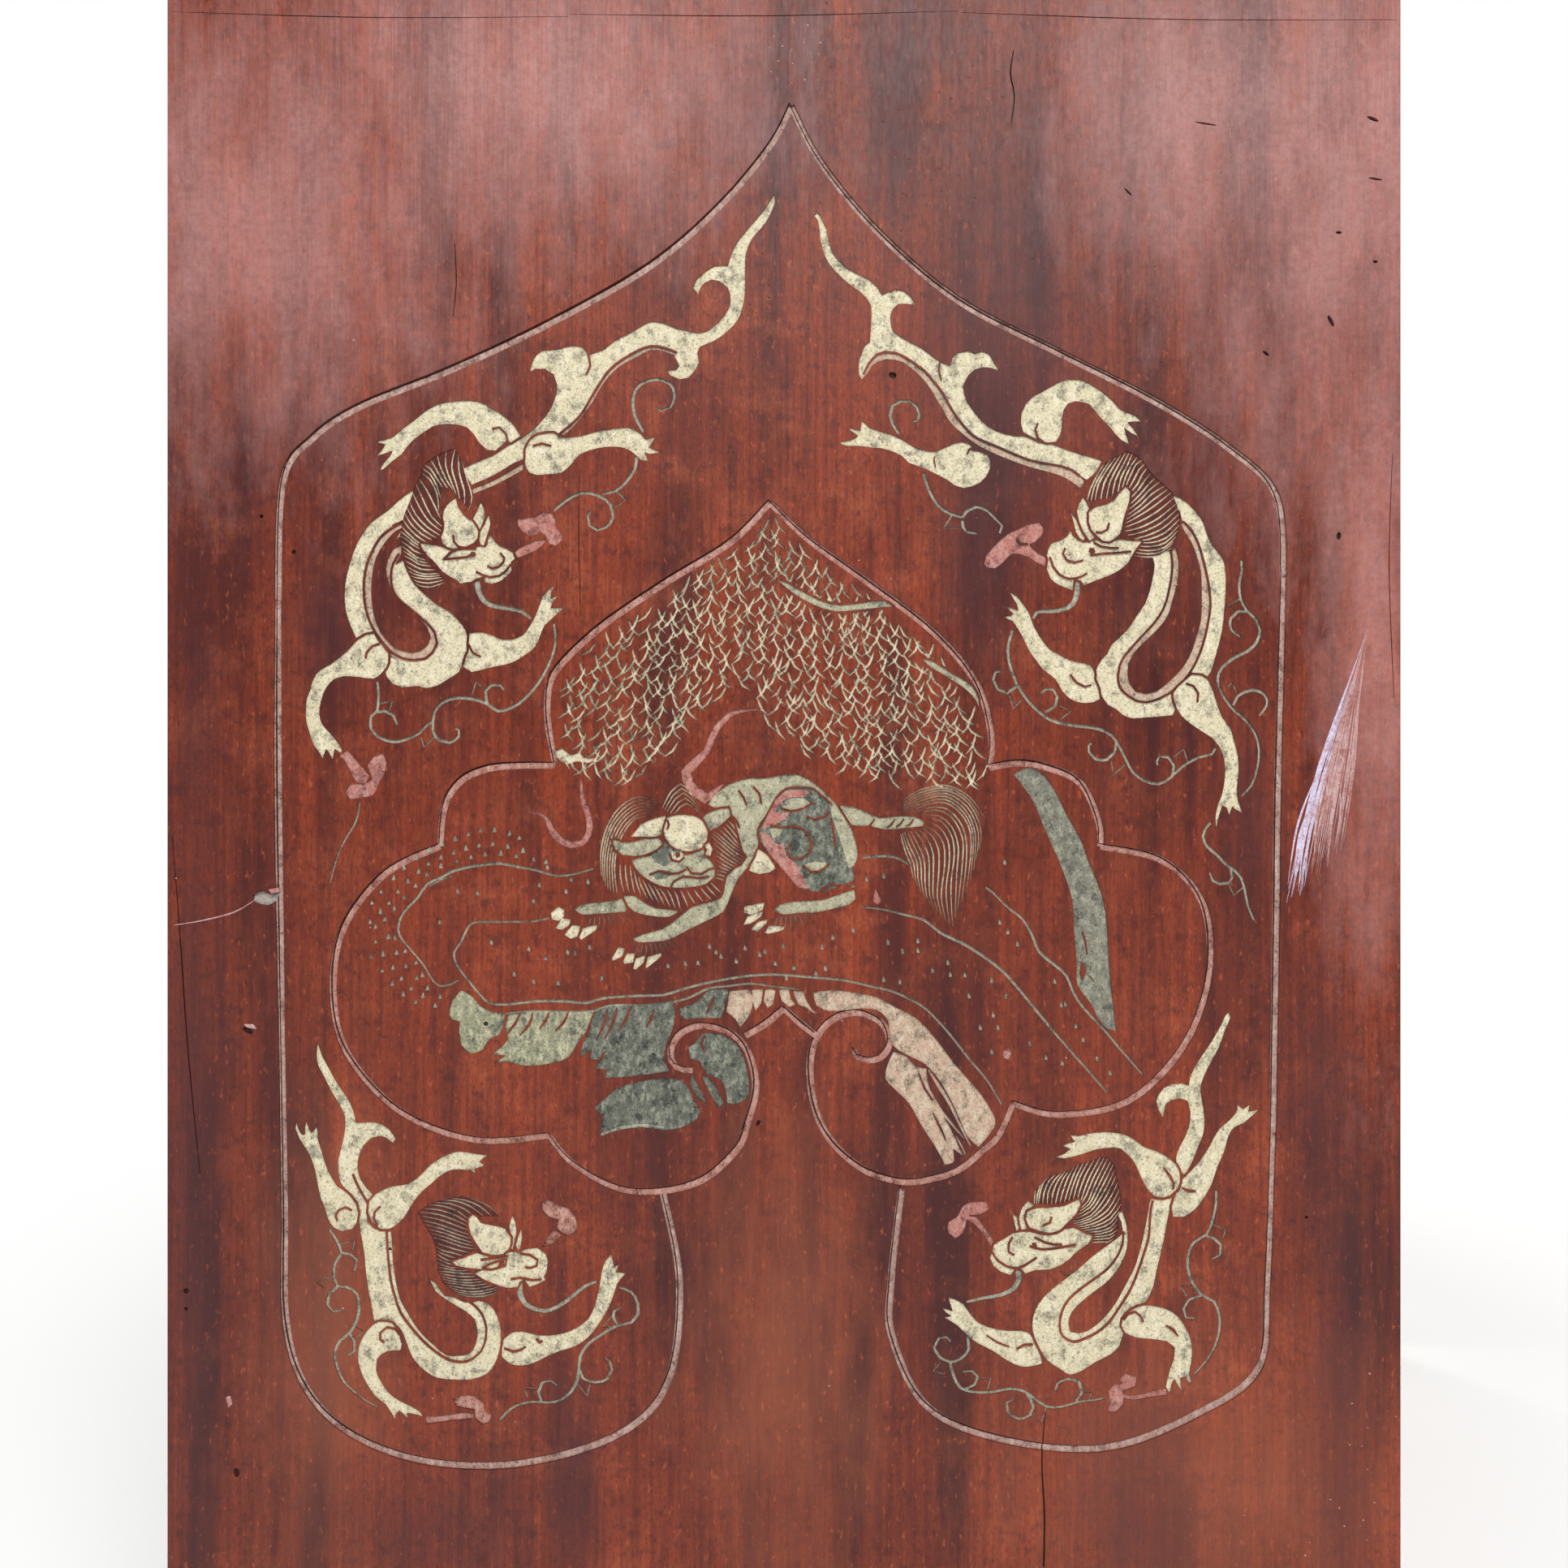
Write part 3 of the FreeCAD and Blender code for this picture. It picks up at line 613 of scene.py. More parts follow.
cut("cream", (500, 644), (487, 654), (474, 668), (463, 687), (458, 709), (457, 730), (460, 757),
    (468, 778), (479, 792), (492, 801), (509, 804), (519, 801), (527, 794), (530, 784), (526, 773),
    (514, 759), (498, 746), (487, 734), (479, 719), (475, 700), (478, 687), (484, 676), (494, 671),
    (478, 680), (470, 700), (473, 722), (483, 740), (496, 752), (510, 764), (519, 777), (521, 787),
    (516, 793), (507, 796), (494, 793), (484, 785), (475, 772), (468, 754), (465, 730), (466, 709),
    (471, 690), (481, 673), (492, 661))
cut("film", (494, 671), (484, 676), (478, 687), (475, 700), (479, 719), (487, 734), (498, 746), (514, 759),
    (526, 773), (530, 784), (527, 794), (519, 801), (509, 804), (492, 801), (479, 792), (468, 778),
    (460, 757), (457, 730), (458, 709), (463, 687), (474, 668), (487, 654), (495, 650), (489, 661),
    (477, 674), (469, 691), (465, 709), (465, 730), (468, 752), (475, 770), (484, 783), (495, 791),
    (507, 793), (515, 790), (519, 784), (516, 776), (507, 766), (492, 754), (480, 741), (471, 723),
    (467, 700), (472, 683), (482, 668), (492, 661))
dark_line((500, 641), (483, 650), (468, 662), (457, 681), (451, 697), (448, 715), (448, 735), (451, 753),
          (456, 768), (464, 782), (474, 795), (484, 805), (496, 811), (511, 813), (524, 811), (533, 803),
          (538, 792), (535, 779), (525, 767), (509, 753), (493, 740), (484, 728), (481, 709), (484, 694),
          (491, 682))
limb("cream", (460, 780), (450, 782), (440, 788), (431, 798), (420, 808), (407, 818), (393, 826),
     (385, 837), (381, 851), (377, 861), (376, 885), (380, 901), (385, 917), (392, 926), (397, 935),
     (401, 923), (404, 926), (409, 936), (412, 923), (420, 928), (421, 924), (417, 917), (407, 904),
     (397, 893), (393, 880), (395, 864), (401, 848), (412, 836), (423, 833), (442, 834), (460, 836),
     (471, 828), (478, 816), (478, 805), (471, 796), (466, 790))
dark_line((467, 793), (458, 796), (451, 804), (450, 811))
limb("cream", (578, 780), (594, 779), (605, 782), (618, 788), (630, 788), (644, 782), (652, 771),
     (659, 759), (664, 746), (668, 735), (675, 727), (683, 720), (679, 730), (678, 737), (688, 733),
     (681, 741), (678, 749), (696, 748), (688, 754), (680, 762), (671, 770), (665, 784), (659, 797),
     (645, 808), (629, 817), (610, 821), (594, 825), (581, 828), (570, 821), (574, 808), (577, 802),
     (577, 792))
dark_line((577, 794), (582, 804), (592, 809))
vine((793, 532), (782, 511), (780, 488), (789, 473), (809, 467), (826, 473), (831, 486), (826, 501),
     (814, 506), (808, 501))
vine((784, 562), (782, 578), (770, 595), (757, 605), (742, 608))
vine((682, 629), (698, 616), (717, 607), (736, 610), (751, 620), (755, 637), (747, 649), (736, 653),
     (726, 647), (724, 635), (728, 629))
leaf_mark((742, 608), (759, 605), (770, 616), (755, 626))
vine((464, 839), (466, 853), (464, 876), (456, 883), (456, 896), (466, 908), (484, 914), (500, 911),
     (517, 903), (526, 893), (533, 889))
vine((464, 877), (474, 876), (484, 881), (489, 893))
leaf_mark((465, 867), (483, 864), (479, 876))
vine((533, 889), (535, 877), (546, 865), (562, 860), (581, 861), (600, 867), (613, 876), (632, 871),
     (648, 859), (664, 840), (677, 816), (684, 792), (682, 767))
vine((533, 889), (533, 901), (541, 912), (554, 915), (565, 907), (565, 899), (560, 897))
leaf_mark((518, 908), (522, 920), (535, 908))
vine((600, 866), (598, 851), (605, 844), (616, 844), (621, 850))
leaf_mark((581, 856), (586, 840), (597, 849))
stroke("sage", (3.0, 2.6, 2.0), (443, 988), (438, 1012), (425, 1034), (415, 1056), (406, 1088))
cut("pink", (416, 931), (427, 924), (434, 931), (443, 942), (455, 955), (450, 966), (438, 963), (431, 950),
    (423, 936))
cut("pink", (452, 942), (460, 932), (472, 928), (476, 939), (472, 955), (466, 966), (460, 979), (444, 983),
    (430, 985), (425, 975), (431, 966), (447, 966), (458, 960), (454, 950))
cut("pink", (633, 680), (641, 674), (659, 666), (671, 664), (673, 667), (661, 677), (651, 682), (638, 687))
cut("pink", (637, 639), (648, 638), (661, 635), (668, 630), (679, 632), (684, 640), (684, 648), (692, 658),
    (692, 666), (685, 672), (676, 670), (672, 660), (665, 654), (661, 658), (652, 660), (644, 655),
    (638, 647))
stroke("sage", TENDRIL, (587, 710), (589, 727), (597, 741), (610, 747), (629, 750), (642, 753), (654, 762))
mane("cream", 2,
     ((577, 628), (581, 612), (575, 590), (568, 566)), ((566, 614), (562, 597), (556, 575), (560, 552)),
     ((557, 602), (549, 590), (541, 572), (538, 560)), ((545, 600), (537, 588), (529, 576), (522, 572)),
     ((540, 629), (538, 608), (529, 590), (519, 582)), ((545, 649), (531, 636), (521, 616), (512, 596)),
     ((543, 660), (526, 649), (512, 634), (504, 618)), ((532, 665), (518, 657), (505, 644), (498, 632)),
     ((520, 672), (510, 664), (500, 655), (494, 648)), ((517, 676), (507, 670), (497, 662), (492, 660)),
     ((524, 690), (512, 686), (502, 678), (494, 672)), ((531, 697), (516, 695), (505, 688), (497, 684)),
     ((540, 706), (522, 707), (508, 702), (500, 697)), ((544, 711), (526, 713), (511, 711), (505, 709)),
     ((548, 717), (530, 723), (516, 721), (511, 718)))
limb("cream", (517, 669), (524, 670), (535, 671), (545, 674), (554, 677), (562, 677), (586, 677),
     (587, 673), (592, 673), (600, 671), (601, 664), (603, 658), (606, 662), (610, 668), (616, 673),
     (624, 676), (632, 681), (634, 688), (629, 693), (630, 703), (624, 710), (616, 716), (606, 719),
     (597, 717), (596, 710), (586, 713), (580, 717), (575, 717), (567, 719), (563, 715), (554, 710),
     (545, 704), (539, 697), (533, 690), (527, 685), (520, 676))
limb("cream", (602, 633), (604, 645), (602, 654), (598, 665), (596, 672), (592, 671), (590, 665),
     (591, 654), (596, 646), (600, 637))
limb("cream", (592, 618), (596, 626), (597, 636), (594, 645), (591, 652), (587, 646), (582, 639),
     (587, 630))
limb("cream", (550, 622), (555, 617), (561, 613), (564, 624), (570, 633), (576, 639), (582, 642),
     (586, 648), (589, 654), (588, 663), (583, 669), (575, 673), (567, 675), (559, 676), (551, 674),
     (545, 669), (543, 661), (546, 653), (547, 645), (545, 637), (546, 629))
dark_line((558, 659), (559, 667), (564, 673), (570, 674))
dark_line((586, 704), (594, 708), (604, 711), (615, 709), (623, 703), (629, 695))
dark_line((616, 681), (621, 687), (620, 692), (614, 698), (606, 700), (600, 697))
dark_line((545, 689), (554, 688), (567, 687), (575, 686), (580, 683))
dark_line((547, 688), (554, 681), (559, 678), (567, 675), (575, 674), (583, 670))
cut("film", (580, 680), (585, 680), (586, 684), (582, 686), (579, 684))

# Upper right dragon
cut("cream", (1003, 265), (1007, 261), (1011, 266), (1014, 272), (1018, 280), (1020, 289), (1022, 299),
    (1027, 313), (1034, 321), (1044, 330), (1057, 337), (1071, 344), (1081, 353), (1087, 363), (1095, 359),
    (1104, 356), (1114, 358), (1123, 366), (1129, 375), (1117, 374), (1107, 374), (1100, 380), (1097, 389),
    (1098, 399), (1100, 407), (1109, 414), (1121, 421), (1135, 428), (1151, 440), (1160, 446), (1171, 450),
    (1173, 443), (1175, 438), (1180, 434), (1193, 432), (1202, 435), (1211, 432), (1219, 436), (1225, 446),
    (1232, 457), (1222, 453), (1211, 452), (1201, 455), (1193, 462), (1187, 474), (1188, 484), (1192, 495),
    (1199, 505), (1210, 518), (1221, 527), (1235, 533), (1252, 537), (1262, 537), (1277, 542), (1294, 546),
    (1308, 551), (1325, 557), (1342, 562), (1358, 567), (1353, 577), (1347, 585), (1339, 591), (1330, 585),
    (1322, 579), (1308, 574), (1291, 571), (1271, 567), (1252, 560), (1229, 550), (1212, 543), (1199, 536),
    (1185, 521), (1173, 504), (1162, 484), (1151, 470), (1140, 457), (1128, 448), (1116, 440), (1103, 434),
    (1090, 433), (1081, 436), (1070, 448), (1066, 458), (1062, 467), (1059, 462), (1058, 453), (1059, 443),
    (1062, 434), (1066, 425), (1072, 421), (1073, 408), (1074, 389), (1073, 375), (1068, 367), (1061, 360),
    (1050, 352), (1039, 343), (1027, 331), (1019, 320), (1014, 307), (1011, 295), (1010, 282), (1008, 271))
cut("tan", (1070, 448), (1081, 436), (1090, 433), (1103, 434), (1116, 440), (1128, 448), (1140, 457),
    (1151, 470), (1162, 484), (1173, 504), (1185, 521), (1199, 536), (1212, 543), (1229, 550), (1252, 560),
    (1271, 567), (1291, 571), (1308, 574), (1322, 579), (1330, 585), (1337, 592), (1332, 602), (1319, 592),
    (1305, 585), (1288, 580), (1269, 575), (1249, 568), (1229, 560), (1212, 552), (1199, 544), (1185, 533),
    (1172, 521), (1162, 505), (1154, 491), (1147, 479), (1137, 466), (1125, 455), (1113, 446), (1103, 443),
    (1092, 442), (1082, 445), (1075, 450), (1068, 460), (1062, 467))
dark_line((1064, 460), (1070, 448), (1081, 436), (1090, 433), (1103, 434), (1116, 440), (1128, 448),
          (1140, 457), (1151, 470), (1162, 484), (1173, 504), (1185, 521), (1199, 536), (1212, 543),
          (1229, 550), (1252, 560), (1271, 567), (1291, 571), (1308, 574), (1322, 579), (1331, 586))
stroke("film", (1.6, 2.0, 1.6), (1158, 445), (1157, 456), (1160, 468))
limb("cream", (1035, 544), (1048, 542), (1055, 539), (1057, 536), (1048, 530), (1046, 526), (1054, 529),
     (1060, 530), (1061, 526), (1062, 518), (1068, 523), (1072, 527), (1081, 530), (1092, 533),
     (1103, 537), (1113, 542), (1126, 550), (1140, 555), (1154, 556), (1165, 551), (1176, 546),
     (1185, 544), (1193, 546), (1199, 550), (1198, 555), (1207, 556), (1217, 560), (1221, 567),
     (1220, 577), (1215, 587), (1208, 594), (1198, 599), (1187, 601), (1177, 598), (1169, 592),
     (1156, 585), (1144, 579), (1131, 574), (1120, 570), (1111, 561), (1100, 556), (1086, 552),
     (1072, 551), (1058, 549), (1044, 549), (1037, 547))
dark_line((1199, 551), (1194, 554), (1192, 559))
stroke("film", (1.2, 1.8, 1.2), (1152, 562), (1151, 567), (1153, 575))
limb("cream", (1261, 532), (1258, 521), (1259, 509), (1264, 498), (1273, 488), (1283, 483), (1297, 475),
     (1308, 469), (1322, 467), (1336, 469), (1349, 476), (1361, 484), (1372, 494), (1381, 504),
     (1387, 507), (1398, 511), (1408, 519), (1396, 519), (1390, 520), (1396, 526), (1404, 538),
     (1394, 533), (1386, 527), (1388, 534), (1392, 547), (1382, 542), (1375, 535), (1368, 526),
     (1358, 516), (1349, 505), (1342, 497), (1333, 495), (1325, 494), (1316, 497), (1311, 504),
     (1309, 514), (1309, 526), (1306, 537), (1301, 544), (1291, 545), (1280, 542), (1270, 537))
dark_line((1279, 521), (1276, 529), (1279, 539), (1286, 544))
cut("cream", (1440, 610), (1449, 611), (1462, 618), (1474, 630), (1483, 643), (1489, 661), (1498, 676),
    (1508, 689), (1511, 707), (1511, 731), (1509, 756), (1507, 774), (1502, 796), (1497, 814), (1492, 829),
    (1488, 834), (1478, 832), (1466, 832), (1475, 814), (1483, 793), (1489, 768), (1492, 747), (1491, 728),
    (1488, 710), (1483, 689), (1477, 669), (1468, 652), (1458, 643), (1457, 641), (1454, 630), (1448, 621))
cut("tan", (1456, 646), (1460, 655), (1468, 667), (1475, 685), (1480, 704), (1481, 725), (1481, 744),
    (1480, 765), (1475, 783), (1469, 802), (1460, 819), (1449, 832), (1437, 843), (1425, 852), (1413, 855),
    (1400, 852), (1393, 843), (1390, 829), (1391, 817), (1397, 805), (1410, 791), (1425, 777), (1439, 759),
    (1446, 737), (1452, 713), (1453, 692), (1449, 675), (1444, 678), (1445, 692), (1444, 710), (1440, 731),
    (1434, 750), (1422, 768), (1406, 785), (1391, 802), (1384, 811), (1380, 820), (1378, 832), (1380, 846),
    (1390, 857), (1400, 863), (1414, 865), (1428, 861), (1440, 855), (1452, 845), (1465, 831), (1475, 814),
    (1483, 793), (1489, 768), (1492, 747), (1491, 728), (1488, 710), (1483, 689), (1477, 669), (1468, 652),
    (1458, 643))
cut("cream", (1420, 685), (1423, 695), (1421, 710), (1417, 728), (1411, 744), (1400, 760), (1391, 774),
    (1379, 786), (1370, 794), (1365, 805), (1359, 811), (1353, 820), (1350, 829), (1351, 838), (1355, 848),
    (1358, 858), (1365, 868), (1376, 874), (1384, 881), (1394, 885), (1410, 884), (1425, 883), (1437, 882),
    (1446, 881), (1450, 870), (1452, 846), (1440, 855), (1428, 861), (1414, 865), (1400, 863), (1390, 857),
    (1380, 846), (1378, 832), (1380, 820), (1384, 811), (1391, 802), (1406, 785), (1422, 768), (1434, 750),
    (1440, 731), (1444, 710), (1445, 692), (1443, 678), (1432, 681))
dark_line((1443, 677), (1445, 692), (1444, 710), (1440, 731), (1434, 750), (1422, 768), (1406, 785),
          (1391, 802), (1384, 811), (1380, 820), (1378, 832), (1380, 846), (1390, 857), (1400, 863),
          (1414, 865), (1428, 861), (1440, 855), (1452, 845), (1465, 831), (1475, 814), (1483, 793),
          (1489, 768), (1492, 747), (1491, 728), (1488, 710), (1483, 689), (1477, 669), (1468, 652),
          (1458, 642))
limb("cream", (1446, 854), (1452, 846), (1462, 837), (1469, 831), (1481, 832), (1489, 837), (1495, 849),
     (1500, 866), (1507, 884), (1517, 897), (1521, 912), (1526, 930), (1527, 952), (1525, 970),
     (1526, 986), (1532, 1002), (1524, 998), (1519, 994), (1515, 1005), (1512, 995), (1507, 993),
     (1503, 1004), (1499, 1022), (1498, 1007), (1501, 992), (1506, 979), (1509, 964), (1510, 949),
     (1508, 933), (1503, 920), (1495, 910), (1481, 901), (1468, 892), (1457, 883), (1451, 874),
     (1447, 863))
dark_line((1462, 842), (1471, 845), (1477, 854), (1476, 865))
limb("cream", (1244, 729), (1254, 735), (1261, 744), (1269, 756), (1273, 768), (1281, 783), (1293, 799),
     (1305, 806), (1321, 814), (1336, 817), (1345, 820), (1349, 828), (1349, 837), (1354, 849),
     (1356, 861), (1348, 865), (1333, 866), (1319, 861), (1309, 851), (1301, 837), (1286, 825),
     (1275, 811), (1267, 799), (1261, 786), (1254, 774), (1248, 765), (1237, 760), (1246, 758),
     (1249, 756), (1238, 746), (1249, 750), (1255, 752), (1253, 744), (1248, 736))
dark_line((1319, 831), (1327, 841), (1337, 846), (1345, 844))
vine((1108, 534), (1100, 522), (1097, 511), (1100, 499), (1110, 494), (1121, 494), (1130, 501),
     (1133, 511), (1131, 517), (1125, 519))
vine((1138, 582), (1144, 602), (1156, 622), (1170, 632), (1186, 637), (1192, 629), (1203, 624),
     (1217, 629), (1226, 638), (1235, 647), (1232, 657))
vine((1186, 640), (1187, 649), (1192, 655), (1204, 657))
leaf_mark((1174, 633), (1163, 650), (1182, 650))
vine((1530, 689), (1531, 701), (1528, 716), (1528, 731), (1532, 744), (1538, 753), (1549, 764),
     (1553, 776), (1549, 791), (1538, 802), (1520, 811), (1506, 823), (1501, 837), (1506, 854),
     (1518, 872), (1535, 887), (1547, 904), (1552, 924), (1550, 946), (1543, 967), (1530, 981))
vine((1538, 753), (1526, 753), (1517, 762), (1518, 776), (1529, 784))
leaf_mark((1532, 736), (1514, 745), (1521, 753))
vine((1520, 869), (1526, 857), (1543, 850), (1558, 855), (1562, 868), (1552, 882))
leaf_mark((1512, 849), (1519, 840), (1525, 855))
vine((1248, 776), (1243, 793), (1243, 811), (1249, 832), (1260, 854), (1275, 872), (1293, 886),
     (1312, 892), (1333, 895), (1354, 898), (1370, 906), (1380, 920), (1388, 936), (1397, 952),
     (1411, 962), (1428, 966), (1443, 958), (1458, 944), (1478, 933), (1494, 929), (1499, 921))
vine((1254, 845), (1241, 854), (1230, 849), (1224, 837), (1227, 828), (1234, 827))
leaf_mark((1244, 855), (1249, 873), (1260, 861))
vine((1289, 877), (1301, 869), (1303, 858), (1298, 849), (1289, 849), (1283, 854))
leaf_mark((1305, 869), (1320, 876), (1307, 886))
vine((1376, 912), (1374, 927), (1364, 936), (1350, 935), (1342, 926), (1342, 918), (1346, 915))
leaf_mark((1370, 938), (1372, 955), (1388, 941))
vine((1445, 956), (1447, 943), (1440, 933), (1429, 932), (1426, 938), (1427, 943))
leaf_mark((1446, 933), (1459, 923), (1465, 941))
vine((1493, 1013), (1486, 1021), (1483, 1030), (1488, 1043), (1500, 1053), (1510, 1064), (1520, 1071),
     (1530, 1082), (1534, 1094), (1538, 1115), (1546, 1134))
vine((1517, 1070), (1519, 1082), (1514, 1088), (1503, 1089), (1495, 1085), (1491, 1075))
leaf_mark((1514, 1088), (1521, 1103), (1533, 1093))
cut("pink", (1269, 670), (1272, 675), (1281, 682), (1291, 686), (1288, 698), (1278, 693), (1269, 687),
    (1256, 682))
cut("pink", (1213, 695), (1215, 685), (1223, 675), (1234, 664), (1244, 656), (1258, 650), (1269, 645),
    (1281, 643), (1287, 650), (1284, 659), (1276, 667), (1269, 670), (1263, 677), (1256, 682), (1247, 682),
    (1241, 687), (1234, 695), (1226, 700), (1216, 699))
dark_line((1253, 664), (1258, 670), (1267, 670))
stroke("sage", TENDRIL, (1327, 716), (1328, 728), (1322, 744), (1309, 751), (1293, 753), (1278, 754),
       (1273, 762))
mane("cream", 2,
     ((1340, 618), (1344, 602), (1354, 582), (1362, 570)),
     ((1350, 616), (1354, 596), (1366, 576), (1376, 562)),
     ((1364, 614), (1368, 594), (1378, 574), (1388, 556)),
     ((1378, 606), (1382, 588), (1390, 572), (1396, 558)),
     ((1388, 598), (1394, 584), (1400, 572), (1408, 566)),
     ((1394, 606), (1402, 596), (1408, 584), (1414, 576)),
     ((1394, 620), (1406, 608), (1416, 596), (1424, 588)),
     ((1390, 634), (1406, 622), (1420, 608), (1436, 598)),
     ((1388, 644), (1406, 634), (1424, 622), (1444, 606)),
     ((1386, 654), (1404, 650), (1428, 638), (1450, 620)),
     ((1394, 664), (1412, 660), (1434, 650), (1454, 632)),
     ((1406, 668), (1420, 668), (1438, 662), (1454, 646)),
     ((1400, 676), (1416, 678), (1436, 674), (1450, 660)),
     ((1398, 684), (1414, 686), (1430, 684), (1444, 674)))
limb("cream", (1292, 676), (1296, 669), (1306, 666), (1315, 661), (1320, 653), (1322, 659), (1330, 666),
     (1338, 668), (1351, 665), (1366, 668), (1380, 664), (1394, 666), (1408, 666), (1400, 676),
     (1391, 692), (1380, 702), (1364, 710), (1348, 716), (1336, 721), (1332, 715), (1324, 713),
     (1323, 718), (1322, 727), (1306, 721), (1295, 713), (1290, 701), (1292, 689), (1290, 684))
limb("cream", (1319, 629), (1324, 636), (1330, 643), (1335, 652), (1338, 661), (1335, 666), (1330, 662),
     (1326, 655), (1324, 646), (1321, 636))
limb("cream", (1335, 612), (1339, 618), (1343, 626), (1342, 634), (1342, 643), (1346, 653), (1350, 661),
     (1343, 666), (1336, 656), (1330, 642), (1327, 630), (1330, 620))
limb("cream", (1342, 630), (1351, 624), (1364, 621), (1374, 615), (1380, 607), (1388, 599), (1393, 605),
     (1392, 617), (1388, 629), (1384, 643), (1382, 655), (1376, 662), (1367, 667), (1359, 666),
     (1351, 659), (1345, 652), (1342, 643))
dark_line((1367, 644), (1365, 652), (1357, 656), (1351, 655))
dark_line((1294, 686), (1298, 698), (1305, 707), (1318, 713), (1333, 710), (1340, 706))
dark_line((1313, 675), (1310, 682), (1315, 690), (1324, 693), (1335, 690))
dark_line((1344, 684), (1357, 682), (1376, 681), (1394, 679))
dark_line((1348, 668), (1357, 673), (1370, 675), (1379, 675))
cut("film", (1343, 675), (1348, 675), (1350, 680), (1345, 682), (1342, 679))

# Lower left dragon
cut("cream", (391, 1284), (396, 1300), (403, 1313), (415, 1335), (428, 1354), (435, 1369), (438, 1384),
    (451, 1383), (466, 1384), (479, 1392), (487, 1403), (483, 1409), (476, 1403), (468, 1400), (456, 1403),
    (447, 1412), (442, 1424), (440, 1439), (444, 1454), (451, 1464), (458, 1471), (456, 1482), (452, 1494),
    (452, 1505), (460, 1514), (475, 1517), (481, 1514), (483, 1535), (484, 1558), (488, 1582), (493, 1602),
    (503, 1620), (516, 1640), (532, 1656), (549, 1670), (565, 1671), (579, 1668), (586, 1656), (588, 1641),
    (585, 1628), (575, 1618), (562, 1610), (549, 1602), (536, 1592), (530, 1580), (529, 1577), (536, 1581),
    (542, 1590), (547, 1597), (559, 1599), (572, 1605), (582, 1605), (590, 1603), (602, 1607), (612, 1621),
    (617, 1641), (615, 1665), (609, 1681), (599, 1694), (579, 1701), (559, 1701), (539, 1699), (524, 1691),
    (509, 1676), (501, 1658), (494, 1640), (483, 1631), (460, 1628), (458, 1615), (454, 1595), (450, 1568),
    (448, 1545), (444, 1522), (442, 1507), (439, 1489), (433, 1479), (425, 1467), (418, 1456), (416, 1444),
    (416, 1429), (420, 1413), (424, 1393), (424, 1376), (418, 1363), (408, 1346), (398, 1326), (390, 1310),
    (390, 1291))
dark_line((434, 1447), (439, 1459), (446, 1472), (452, 1482))
dark_line((476, 1512), (476, 1525), (478, 1552), (481, 1578), (486, 1598), (493, 1618), (506, 1636),
          (521, 1653), (536, 1666), (552, 1676), (569, 1679), (582, 1675), (592, 1666), (598, 1651),
          (599, 1638), (594, 1621), (585, 1610), (577, 1604))
limb("cream", (365, 1383), (367, 1391), (371, 1398), (375, 1398), (375, 1389), (377, 1382), (380, 1391),
     (383, 1396), (386, 1394), (389, 1388), (391, 1393), (391, 1403), (395, 1416), (401, 1436),
     (408, 1451), (415, 1462), (423, 1467), (431, 1474), (438, 1484), (441, 1495), (439, 1507),
     (433, 1515), (421, 1518), (411, 1514), (403, 1502), (400, 1490), (395, 1479), (391, 1462),
     (388, 1446), (383, 1429), (376, 1416), (368, 1403), (363, 1391))
dark_line((433, 1492), (425, 1488), (416, 1492), (413, 1499), (415, 1505))
limb("cream", (602, 1424), (585, 1422), (565, 1419), (549, 1424), (532, 1434), (519, 1447), (503, 1459),
     (483, 1462), (463, 1471), (454, 1481), (453, 1494), (458, 1507), (468, 1515), (479, 1515),
     (491, 1507), (501, 1495), (509, 1481), (519, 1469), (531, 1459), (542, 1449), (556, 1442),
     (572, 1442), (579, 1442), (586, 1447), (584, 1441), (597, 1436), (590, 1432), (595, 1427))
dark_line((468, 1487), (461, 1494), (460, 1502), (464, 1510))
limb("cream", (466, 1629), (483, 1631), (491, 1641), (495, 1655), (493, 1665), (476, 1666), (464, 1675),
     (463, 1688), (468, 1701), (478, 1716), (491, 1726), (506, 1733), (516, 1739), (522, 1747),
     (512, 1744), (501, 1742), (502, 1750), (496, 1743), (491, 1739), (487, 1743), (486, 1751),
     (481, 1741), (474, 1731), (463, 1723), (451, 1706), (443, 1688), (440, 1671), (444, 1653),
     (454, 1638))
dark_line((473, 1655), (468, 1651), (468, 1643), (476, 1636), (486, 1638), (493, 1646), (495, 1655))
limb("cream", (753, 1546), (755, 1555), (756, 1562), (763, 1558), (758, 1568), (771, 1569), (764, 1577),
     (760, 1583), (755, 1598), (748, 1615), (738, 1631), (725, 1648), (708, 1660), (688, 1666),
     (672, 1673), (658, 1680), (642, 1684), (627, 1681), (618, 1673), (618, 1663), (620, 1651),
     (629, 1643), (643, 1641), (660, 1645), (675, 1646), (695, 1643), (711, 1636), (725, 1625),
     (733, 1608), (738, 1588), (741, 1568), (746, 1554))
dark_line((621, 1662), (632, 1666), (642, 1664), (647, 1660))
stroke("film", (2.0, 3.5, 2.0), (660, 1650), (665, 1655), (668, 1653))
stroke("sage", TENDRIL, (640, 1577), (640, 1592), (645, 1605), (657, 1613), (672, 1616), (688, 1610),
       (705, 1598), (721, 1585), (735, 1580))
vine((405, 1515), (415, 1530), (420, 1544), (431, 1546), (439, 1553), (436, 1567))
leaf_mark((418, 1534), (436, 1529), (434, 1541))
vine((420, 1545), (412, 1558), (411, 1572), (415, 1585), (428, 1587), (439, 1595), (442, 1612),
     (439, 1628), (430, 1643), (418, 1653), (412, 1668), (415, 1685), (423, 1703), (439, 1718),
     (454, 1729), (464, 1734))
leaf_mark((411, 1573), (390, 1580), (400, 1588))
vine((415, 1586), (405, 1595), (403, 1608), (410, 1617), (420, 1615))
leaf_mark((438, 1635), (448, 1641), (438, 1649), (430, 1643))
